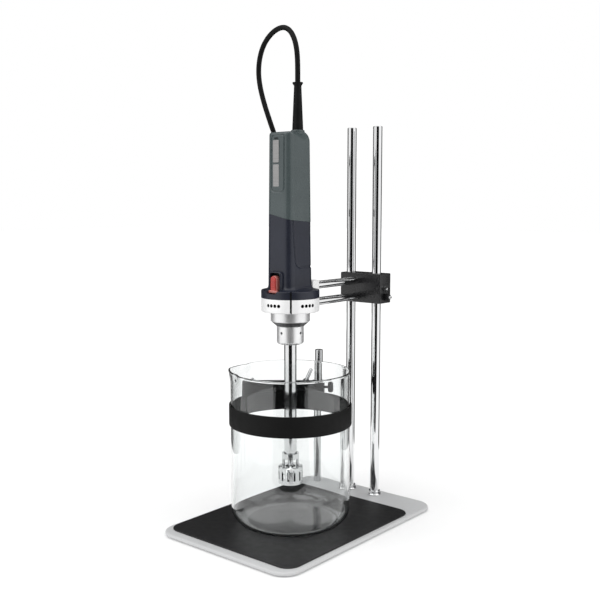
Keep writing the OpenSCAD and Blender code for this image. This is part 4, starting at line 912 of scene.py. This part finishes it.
# the housing's flange also takes the groove of the painted dark reflection line
piece("lowerHousing", [lowerHousing()], navyPlastic, "motor_carriage", ["lower_housing"],
      [slotCutter, reflectionLineGroove(ringTop - 1 * mm, flangeTop + 4 * mm)])
guardLook = {"half": 11.8 * mm, "out": 6.5 * mm, "sink": 2 * mm, "rise": 30.8 * mm, "corner": 5 * mm,
             "edge": 2.2 * mm}
guardHigh = sliderLo[2] + guardLook["rise"]
guardFoot = (0, toolMiddle[1] - bodyLook["depth"] / 2 + guardLook["sink"], (guardHigh + slotLow) / 2)
guardRim = softRim(guardLook["out"] + guardLook["sink"], guardLook["edge"])
guardShell = faceSlab(2 * guardLook["half"], guardHigh - slotLow, guardLook["corner"], guardRim, guardFoot)
piece("switchGuard", [guardShell], navyPlastic, "motor_carriage", (), [slotCutter])
dialLook = {"thick": 1.9 * mm, "trim": 0.9 * mm, "gap": 0.2 * mm, "edge": 0.5 * mm, "flutes": 30,
            "depth": 0.5 * mm, "axle": 1.5 * mm, "axleSink": 1 * mm}
dialMiddle, dialRadius, dialFoot, dialTop = upright("speed_dial")
dialRadius -= dialLook["trim"]
dialLow, dialGap = dialTop - dialLook["thick"], dialLook["gap"]
dialSlot = cylinder(dialRadius + dialGap, (*dialMiddle, dialLow - dialGap),
                    (*dialMiddle, dialTop + dialGap), 96)
piece("upperHousing", [upperHousing()], greyPlastic, "motor_carriage", ["upper_housing"],
      [dialSlot])
collarLook = {"bore": 8.02 * mm, "foot": 10.4 * mm, "top": 9.8 * mm, "sink": 9 * mm, "rise": 2 * mm}
collarLow, collarHigh = crownTop - collarLook["sink"], crownTop + collarLook["rise"]
baseRing = rounded([(collarLook["bore"], collarLow, 0), (collarLook["foot"], collarLow, 0),
                    (collarLook["top"], collarHigh, 1.4 * mm), (collarLook["bore"], collarHigh, 0.4 * mm)],
                   loop=True)
piece("reliefCollar", [turned(baseRing, (*reliefMiddle, 0), loop=True)], greyPlastic, "motor_carriage", ())

labelLook = {"corner": 1.5 * mm, "edge": 0.25 * mm, "gap": 2.6 * mm, "upperShare": 0.5}
labelLo, labelHi = boxOf("label_plate")
labelWide, labelThick, labelTall = labelHi - labelLo
labelSplit = labelHi[2] - labelLook["upperShare"] * labelTall
halfGap = labelLook["gap"] / 2
labelRim = softRim(labelThick, labelLook["edge"])
labelShells = []
for foot, top in ((labelLo[2], labelSplit - halfGap), (labelSplit + halfGap, labelHi[2])):
    middle = ((labelLo + labelHi)[0] / 2, labelHi[1], (foot + top) / 2)
    labelShells.append(faceSlab(labelWide, top - foot, labelLook["corner"], labelRim, middle))
piece("labelPlate", labelShells, labelFilm, "motor_carriage", ["label_plate"])

# red slide switch: ribbed key in a rim with a foot ledge, both a paler red as painted highlight on the key's
# edges, on a black guide plate behind the wall
switchLook = {"width": 9.6 * mm, "rim": 0.9 * mm, "rimSink": 1.4 * mm, "shift": -2 * mm, "height": 24.8 * mm,
              "round": 5.4 * mm, "edge": 2.2 * mm, "guide": 1.8 * mm, "guideWide": 23 * mm,
              "guideCorner": 2 * mm, "guideEdge": 0.3 * mm, "ledge": 4 * mm, "ledgeWide": 16.4 * mm,
              "ledgeLong": 5.6 * mm, "ledgeBack": 5 * mm, "ledgeCorner": 1.6 * mm, "ledgeEdge": 1 * mm,
              "ribs": 4, "ribFrom": 9 * mm, "ribPitch": 3 * mm, "ribWide": 7 * mm, "ribTall": 1.3 * mm,
              "ribCorner": 0.6 * mm, "ribLong": 0.9 * mm, "ribEdge": 0.4 * mm, "ribSink": 0.4 * mm}
keyMid, keyBack = switchLook["shift"], sliderHi[1] - switchLook["guide"] / 2
keyTall, keyRound, keyRim = switchLook["height"], switchLook["round"], switchLook["rim"]
keyLong = keyBack - sliderLo[1]
keyFoot = (keyMid, keyBack, sliderLo[2] + keyTall / 2)
ribRim = softRim(switchLook["ribLong"], switchLook["ribEdge"])
ribHeights = sliderLo[2] + switchLook["ribFrom"] + switchLook["ribPitch"] * np.arange(switchLook["ribs"])
ribShells = [faceSlab(switchLook["ribWide"], switchLook["ribTall"], switchLook["ribCorner"], ribRim,
                      (keyMid, sliderLo[1] + switchLook["ribSink"], height)) for height in ribHeights]
keyShell = faceSlab(switchLook["width"], keyTall - 2 * keyRim, keyRound - keyRim,
                    softRim(keyLong, switchLook["edge"] - keyRim), keyFoot)
piece("switchSlider", [keyShell, *ribShells], redPlastic, "power_switch", ["switch_slider"])
rimShell = faceSlab(switchLook["width"] + 2 * keyRim, keyTall, keyRound,
                    softRim(keyLong - switchLook["rimSink"], switchLook["edge"]), keyFoot)
ledgeFoot = (keyMid, sliderLo[1] + switchLook["ledgeBack"], sliderLo[2] + switchLook["ledge"] / 2)
ledgeShell = faceSlab(switchLook["ledgeWide"], switchLook["ledge"], switchLook["ledgeCorner"],
                      softRim(switchLook["ledgeLong"], switchLook["ledgeEdge"]), ledgeFoot)
# rim and ledge in paler red: painted highlight
piece("switchRim", [rimShell, ledgeShell], paintedHighlightRed, "power_switch", ())
guideShell = faceSlab(switchLook["guideWide"], keyTall, switchLook["guideCorner"],
                      softRim(switchLook["guide"], switchLook["guideEdge"]),
                      (0, sliderHi[1], sliderHi[2] - keyTall / 2))
piece("switchGuide", [guideShell], blackPlastic, "power_switch", ())
dialShell = turned(puck(dialRadius, dialLow, dialTop, dialLook["edge"]), (*dialMiddle, 0), around=180,
                   flutes=dialLook["flutes"], depth=dialLook["depth"])
axleShell = cylinder(dialLook["axle"], (*dialMiddle, dialFoot), (*dialMiddle, dialTop - dialLook["axleSink"]))
piece("speedDial", [dialShell, axleShell], dialPlastic, "speed_wheel", ["speed_dial"])
print("motor housing made")

# beaker: one wall from the inner floor over the rim to the outer foot, with a poured lip

glassLook = {"radius": 88 * mm, "wall": 2.5 * mm, "floor": 3 * mm, "edge": 24 * mm, "bead": 0.5 * mm,
             "cap": 9 * mm, "rimLift": 3 * mm, "spoutTurn": 214, "spoutSpread": 13, "spoutReach": 3.5 * mm,
             "spoutLift": 1 * mm, "spoutDrop": 22 * mm, "foldDepth": 3 * mm, "foldTurn": 30, "foldSpread": 7,
             "spacing": 4 * mm, "around": 240}
beakerFoot, beakerTop = upright("beaker")[2:]
beakerTop += glassLook["rimLift"]


def beakerSkin():
    # turned glass whose radius near the rim follows bell curves of the angle: out at the lip, in beside it
    r, w, e, bead = (glassLook[key] for key in ("radius", "wall", "edge", "bead"))
    floor, cap = beakerFoot + glassLook["floor"], glassLook["cap"]
    line = rounded([(cap, floor, 0), (r - w, floor, e - w), (r - w, beakerTop - 4 * mm, 2 * mm),
                    (r - w + 0.4 * mm, beakerTop, 0.9 * mm), (r + bead, beakerTop, 1.2 * mm),
                    (r + bead, beakerTop - 1.8 * mm, 0.8 * mm), (r, beakerTop - 3.2 * mm, 2 * mm),
                    (r, beakerFoot, e), (cap, beakerFoot, 0)], steps=12)
    counts = [max(2, int(np.linalg.norm(b - a) / glassLook["spacing"])) for a, b in zip(line[:-1], line[1:])]
    tall = np.concatenate([np.linspace(a, b, count, endpoint=False)
                           for a, b, count in zip(line[:-1], line[1:], counts)] + [line[-1:]])
    turn = np.linspace(-np.pi, np.pi, glassLook["around"], endpoint=False)
    swing = np.degrees(np.angle(np.exp(1j * (turn - math.radians(glassLook["spoutTurn"])))))
    onWall = tall[:, 0] > r - w - 1.5 * mm
    rise = smoothStep(beakerTop - glassLook["spoutDrop"], beakerTop, tall[:, 1]) * onWall
    bell = np.exp(-(swing / glassLook["spoutSpread"]) ** 2)
    fold = np.exp(-((np.abs(swing) - glassLook["foldTurn"]) / glassLook["foldSpread"]) ** 2)
    radius = tall[:, :1] + rise[:, None] * (glassLook["spoutReach"] * bell - glassLook["foldDepth"] * fold)
    flat = radius[..., None] * np.stack([np.cos(turn), np.sin(turn)], -1) + toolMiddle
    height = tall[:, 1:] + rise[:, None] * glassLook["spoutLift"] * bell
    return shell(np.concatenate([flat, height[..., None]], -1))


piece("beakerGlass", [beakerSkin()], clearGlass, "vessel", ["beaker"], sharp=60)

# strap, bar, boss and post fittings

strapLook = {"thick": 2.2 * mm, "lift": 1 * mm, "innerRound": 0.5 * mm, "outerRound": 0.8 * mm}
strapRadius, strapFoot, strapTop = upright("beaker_strap")[1:]
strapShape = hoop(strapRadius - strapLook["thick"], strapRadius, strapFoot + strapLook["lift"], strapTop,
                  strapLook["innerRound"], strapLook["outerRound"], steps=4)
piece("beakerStrap", [turned(strapShape, toolAxis, loop=True, around=240)], strapBand, "beaker_holder",
      ["beaker_strap"])
barLook = {"length": 134 * mm, "thick": 10 * mm, "shift": -15 * mm, "saddle": 3 * mm, "run": 0.02 * mm,
           "past": 5 * mm, "stemHole": 2.05 * mm, "stemDrop": 10 * mm, "stemBite": 21 * mm,
           "corner": 1.5 * mm, "edge": 1.2 * mm, "pin": 2.5 * mm}
barLo, barHi = boxOf("back_bar")
barMid = strapRadius - barLook["saddle"] + barLook["thick"] / 2
barRight = barLook["shift"] + barLook["length"] / 2
stemHeight = barHi[2] - barLook["stemDrop"]
saddleCut = cylinder(strapRadius + barLook["run"], (*toolMiddle, barLo[2] - barLook["past"]),
                     (*toolMiddle, barHi[2] + barLook["past"]), 240)
stemCut = cylinder(barLook["stemHole"], held(barRight - barLook["stemBite"], barMid, stemHeight),
                   held(barRight + barLook["past"], barMid, stemHeight))
barRim = softRim(barHi[2] - barLo[2], barLook["edge"])
barShell = slab(barLook["length"], barLook["thick"], barLook["corner"], barRim,
                held(barLook["shift"], barMid, barLo[2]), along, away)
piece("backBar", [barShell], blackPaint, "beaker_holder", ["back_bar"], [saddleCut, stemCut])
pinLo, pinHi = boxOf("strap_pin")
pinTall, pinRadius = pinHi[2] - pinLo[2], barLook["pin"]
pinShape = rounded([(pinRadius - 0.7 * mm, 0, 0), (pinRadius, 0.6 * mm, 0), (pinRadius, pinTall, 1.2 * mm),
                    (0.8 * mm, pinTall, 0)])
piece("strapPin", [turned(pinShape, footOf(pinLo, pinHi))], chrome, "beaker_holder", ["strap_pin"])
smoothCopy("strapRivets", "strap_rivets", chrome, "beaker_holder")
piece("holderArm", [block(*boxOf("holder_arm"), barLook["corner"], barLook["edge"])], blackPaint,
      "beaker_holder", ["holder_arm"])

bossLook = {"boreRound": 0.5 * mm, "rimRound": 1.8 * mm, "neckWide": 16 * mm, "neckTall": 16 * mm,
            "neckGap": 1.5 * mm, "run": 0.05 * mm, "stem": 3 * mm, "stemRise": 5 * mm, "stemReach": 20 * mm,
            "hub": 5 * mm, "hubGap": 11 * mm, "hubLong": 8 * mm, "pin": 3 * mm, "pinLong": 50 * mm,
            "pinTilt": 52, "tipRound": 1.4 * mm}
bossLo, bossHi = boxOf("boss_head")
post, postRadius = columns["holder_post"][:2]
bossRadius, bossMid = (bossHi - bossLo)[0] / 2, (bossLo + bossHi)[2] / 2
bossShape = hoop(postRadius + bossLook["run"], bossRadius, bossLo[2], bossHi[2], bossLook["boreRound"],
                 bossLook["rimRound"])
neckLong = post[1] - bossLo[1] - postRadius - bossLook["neckGap"]
neckFoot = (post[0], bossLo[1] + neckLong / 2, bossMid - bossLook["neckTall"] / 2)
stemSpot = np.array([*post, bossMid + bossLook["stemRise"]])
stemHole = cylinder(bossLook["stem"] + bossLook["run"], stemSpot,
                    stemSpot - bossLook["stemReach"] * acrossAxis)
piece("bossHead", [turned(bossShape, (*post, 0), loop=True)], blackPaint, "beaker_holder", ["boss_head"],
      [stemHole])
piece("bossNeck", [slab(bossLook["neckWide"], neckLong, barLook["corner"],
                        softRim(bossLook["neckTall"], barLook["edge"]), neckFoot)],
      blackPaint, "beaker_holder", ())
stemFrom = post[0] - boxOf("boss_lever")[1][0]
hubFrom = bossRadius + bossLook["hubGap"]
hubTo = hubFrom + bossLook["hubLong"]
leverStem = rounded([(1 * mm, stemFrom, 0), (bossLook["stem"], stemFrom, 0), (bossLook["stem"], hubFrom, 0),
                     (bossLook["hub"], hubFrom, 0.6 * mm), (bossLook["hub"], hubTo, bossLook["tipRound"]),
                     (1 * mm, hubTo, 0)])
pinTilt = math.radians(bossLook["pinTilt"])
pinRay = math.cos(pinTilt) * backAxis + math.sin(pinTilt) * upAxis
pinFoot = stemSpot - (hubFrom + hubTo) / 2 * acrossAxis - pinRay * bossLook["pinLong"] / 2
leverPin = puck(bossLook["pin"], 0, bossLook["pinLong"], bossLook["tipRound"])
# lever in the chrome painted darker, as painted dark reflections
piece("bossLever", [turned(leverPin, pinFoot, pinRay), turned(leverStem, stemSpot, -acrossAxis)],
      darkReflectionChrome, "boss_handle", ["boss_lever"])
tensionLook = {"stem": 2 * mm, "bite": 20 * mm, "stand": 8 * mm, "radius": 8.5 * mm, "thick": 9 * mm,
               "round": 3.2 * mm, "flutes": 20, "depth": 0.8 * mm}
stand = tensionLook["stand"]
tensionStem = [(tensionLook["stem"], -tensionLook["bite"]), (tensionLook["stem"], stand + 1 * mm)]
tensionDisc = puck(tensionLook["radius"], stand, stand + tensionLook["thick"], tensionLook["round"])
tensionFoot = held(barRight, barMid, stemHeight)
piece("tensionKnob", [turned(tensionStem, tensionFoot, along, around=32),
                      turned(tensionDisc, tensionFoot, along, around=160, flutes=tensionLook["flutes"],
                             depth=tensionLook["depth"])],
      blackPlastic, "strap_knob", ["tension_knob"])
print("beaker and holder made")

# CAD nodes that keep their own shape take a finish only

keptNodes = {matRubber: ["foot_pads"], darkSteel: ["base_bolts", "arm_screws", "ring_screws"],
             toolSteel: ["armature_shaft", "shaft_coupling", "drive_shaft", "front_bearing", "rear_bearing"],
             coreIron: ["field_core", "armature_core"],
             copperWire: ["field_coils", "commutator", "brush_holders"],
             carbonBlock: ["carbon_brushes"], bushWhite: ["shaft_bushes"],
             blackPlastic: ["switch_block", "speed_module", "switch_rod", "cooling_fan"]}
for material, names in keptNodes.items():
    for name in names:
        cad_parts[name].data.materials.clear()
        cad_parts[name].data.materials.append(material)

# studio: pale floor, white surround, soft lamps, and dark cards that only reflections and the glass see

studio = {"surround": 0.78, "floor": 0.86, "floorHalf": 12, "floorGlow": 0.14, "softness": 60,
          "lamps": {"keyLamp": (1.0, 38, -20), "fillLamp": (0.45, 46, 110)}}  # strength, tilt and turn


def seenDirectly(tree):
    # 1 for camera, glossy and transmission rays
    path = addNode(tree, "LightPath").outputs
    pair = combine(tree, "MAXIMUM", path["Is Camera Ray"], path["Is Glossy Ray"])
    return combine(tree, "MAXIMUM", pair, path["Is Transmission Ray"])


def between(tree, share, low, high):
    # low where the share is 0, high where it is 1
    return addNode(tree, "MapRange", {"Value": share, "To Min": low, "To Max": high}).outputs["Result"]


def makeSurround():
    # white where it is seen, a little darker as a light
    world = bpy.data.worlds.new("surround")
    scene.world = world
    world.use_nodes = True
    tree = world.node_tree
    background = tree.nodes["Background"]
    background.inputs["Color"].default_value = (1, 1, 1, 1)
    tree.links.new(between(tree, seenDirectly(tree), studio["surround"], 1.0), background.inputs["Strength"])


def flatSheet(name, corners):
    mesh = bpy.data.meshes.new(name)
    mesh.from_pydata(np.array(corners, float).tolist(), [], [(0, 1, 2, 3)])
    return linked(name, mesh)


def matt(name, tone, roughness):
    return newFinish(name, {"Base Color": (tone, tone, tone, 1), "Roughness": roughness,
                            "Specular IOR Level": 0.0})


def makeFloor():
    # pale paper with a faint glow where it is seen, so that it meets the surround
    half = studio["floorHalf"]
    floor = flatSheet("floor", [(-half, -half, 0), (half, -half, 0), (half, half, 0), (-half, half, 0)])
    material, tree, shader = matt("floorPaper", studio["floor"], 0.9)
    shader.inputs["Emission Color"].default_value = (1, 1, 1, 1)
    glow = between(tree, seenDirectly(tree), 0.0, studio["floorGlow"])
    tree.links.new(glow, shader.inputs["Emission Strength"])
    floor.data.materials.append(material)


def makeLamp(name, strength, tilt, turn):
    lamp = bpy.data.lights.new(name, "SUN")
    lamp.energy, lamp.angle = strength, math.radians(studio["softness"])
    linked(name, lamp).rotation_euler = (math.radians(tilt), 0, math.radians(turn))


def makeCard(name, corners, tone, through):
    # dark card that lights nothing: reflections see it, and plain glass sees it in a paler tone if given one
    card = flatSheet(name, corners)
    material, tree, shader = matt(name, tone, 0.95)
    if through is not None:
        path = addNode(tree, "LightPath").outputs
        plain = combine(tree, "LESS_THAN", path["Glossy Depth"], 0.5)
        clear = combine(tree, "MULTIPLY", path["Is Transmission Ray"], plain)
        tree.links.new(between(tree, clear, tone, through), shader.inputs["Base Color"])
    card.data.materials.append(material)
    for ray in ("camera", "diffuse", "shadow", "volume_scatter"):
        setattr(card, "visible_" + ray, False)
    card.visible_transmission = through is not None


def bearingRay(bearing):
    # level direction at an angle from the camera's side, positive to the picture's right
    heading = math.radians(shot["turn"] + bearing)
    return np.array([math.sin(heading), -math.cos(heading), 0])


def standingCard(name, bearings, distance, low, high, tone, through=None):
    # upright card between two bearings
    a, b = (distance * bearingRay(bearing) for bearing in bearings)
    makeCard(name, [a + low * upAxis, b + low * upAxis, b + high * upAxis, a + high * upAxis], tone, through)


def levelCard(name, bearings, near, far, tone, through=None, height=1 * mm):
    # card that lies level between two bearings, on the floor or overhead
    a, b = (bearingRay(bearing) for bearing in bearings)
    lift = height * upAxis
    makeCard(name, [near * a + lift, far * a + lift, far * b + lift, near * b + lift], tone, through)


makeSurround()
makeFloor()
for name, lampLook in studio["lamps"].items():
    makeLamp(name, *lampLook)
front, left, right, back = (-31, 31), (-155, -104), (104, 155), (155, 205)
standingCard("frontCard", front, distance=2.0, low=0.0, high=2.4, tone=0.01, through=0.3)
levelCard("frontFloorCard", front, near=0.4, far=2.0, tone=0.01, through=0.3)
standingCard("leftCard", left, distance=2.2, low=0.0, high=2.6, tone=0.12, through=0.35)
standingCard("rightCard", right, distance=2.2, low=0.0, high=2.6, tone=0.05, through=0.15)
levelCard("leftFloorCard", left, near=0.5, far=2.2, tone=0.12, through=0.35)
levelCard("rightFloorCard", right, near=0.5, far=2.2, tone=0.05, through=0.15)
standingCard("backCard", back, distance=2.4, low=0.05, high=1.9, tone=0.03)
levelCard("backFloorCard", back, near=0.4, far=2.2, tone=0.05)
levelCard("backTopCard", (140, 220), near=0.3, far=2.4, tone=0.03, height=1.9)
print("studio made")
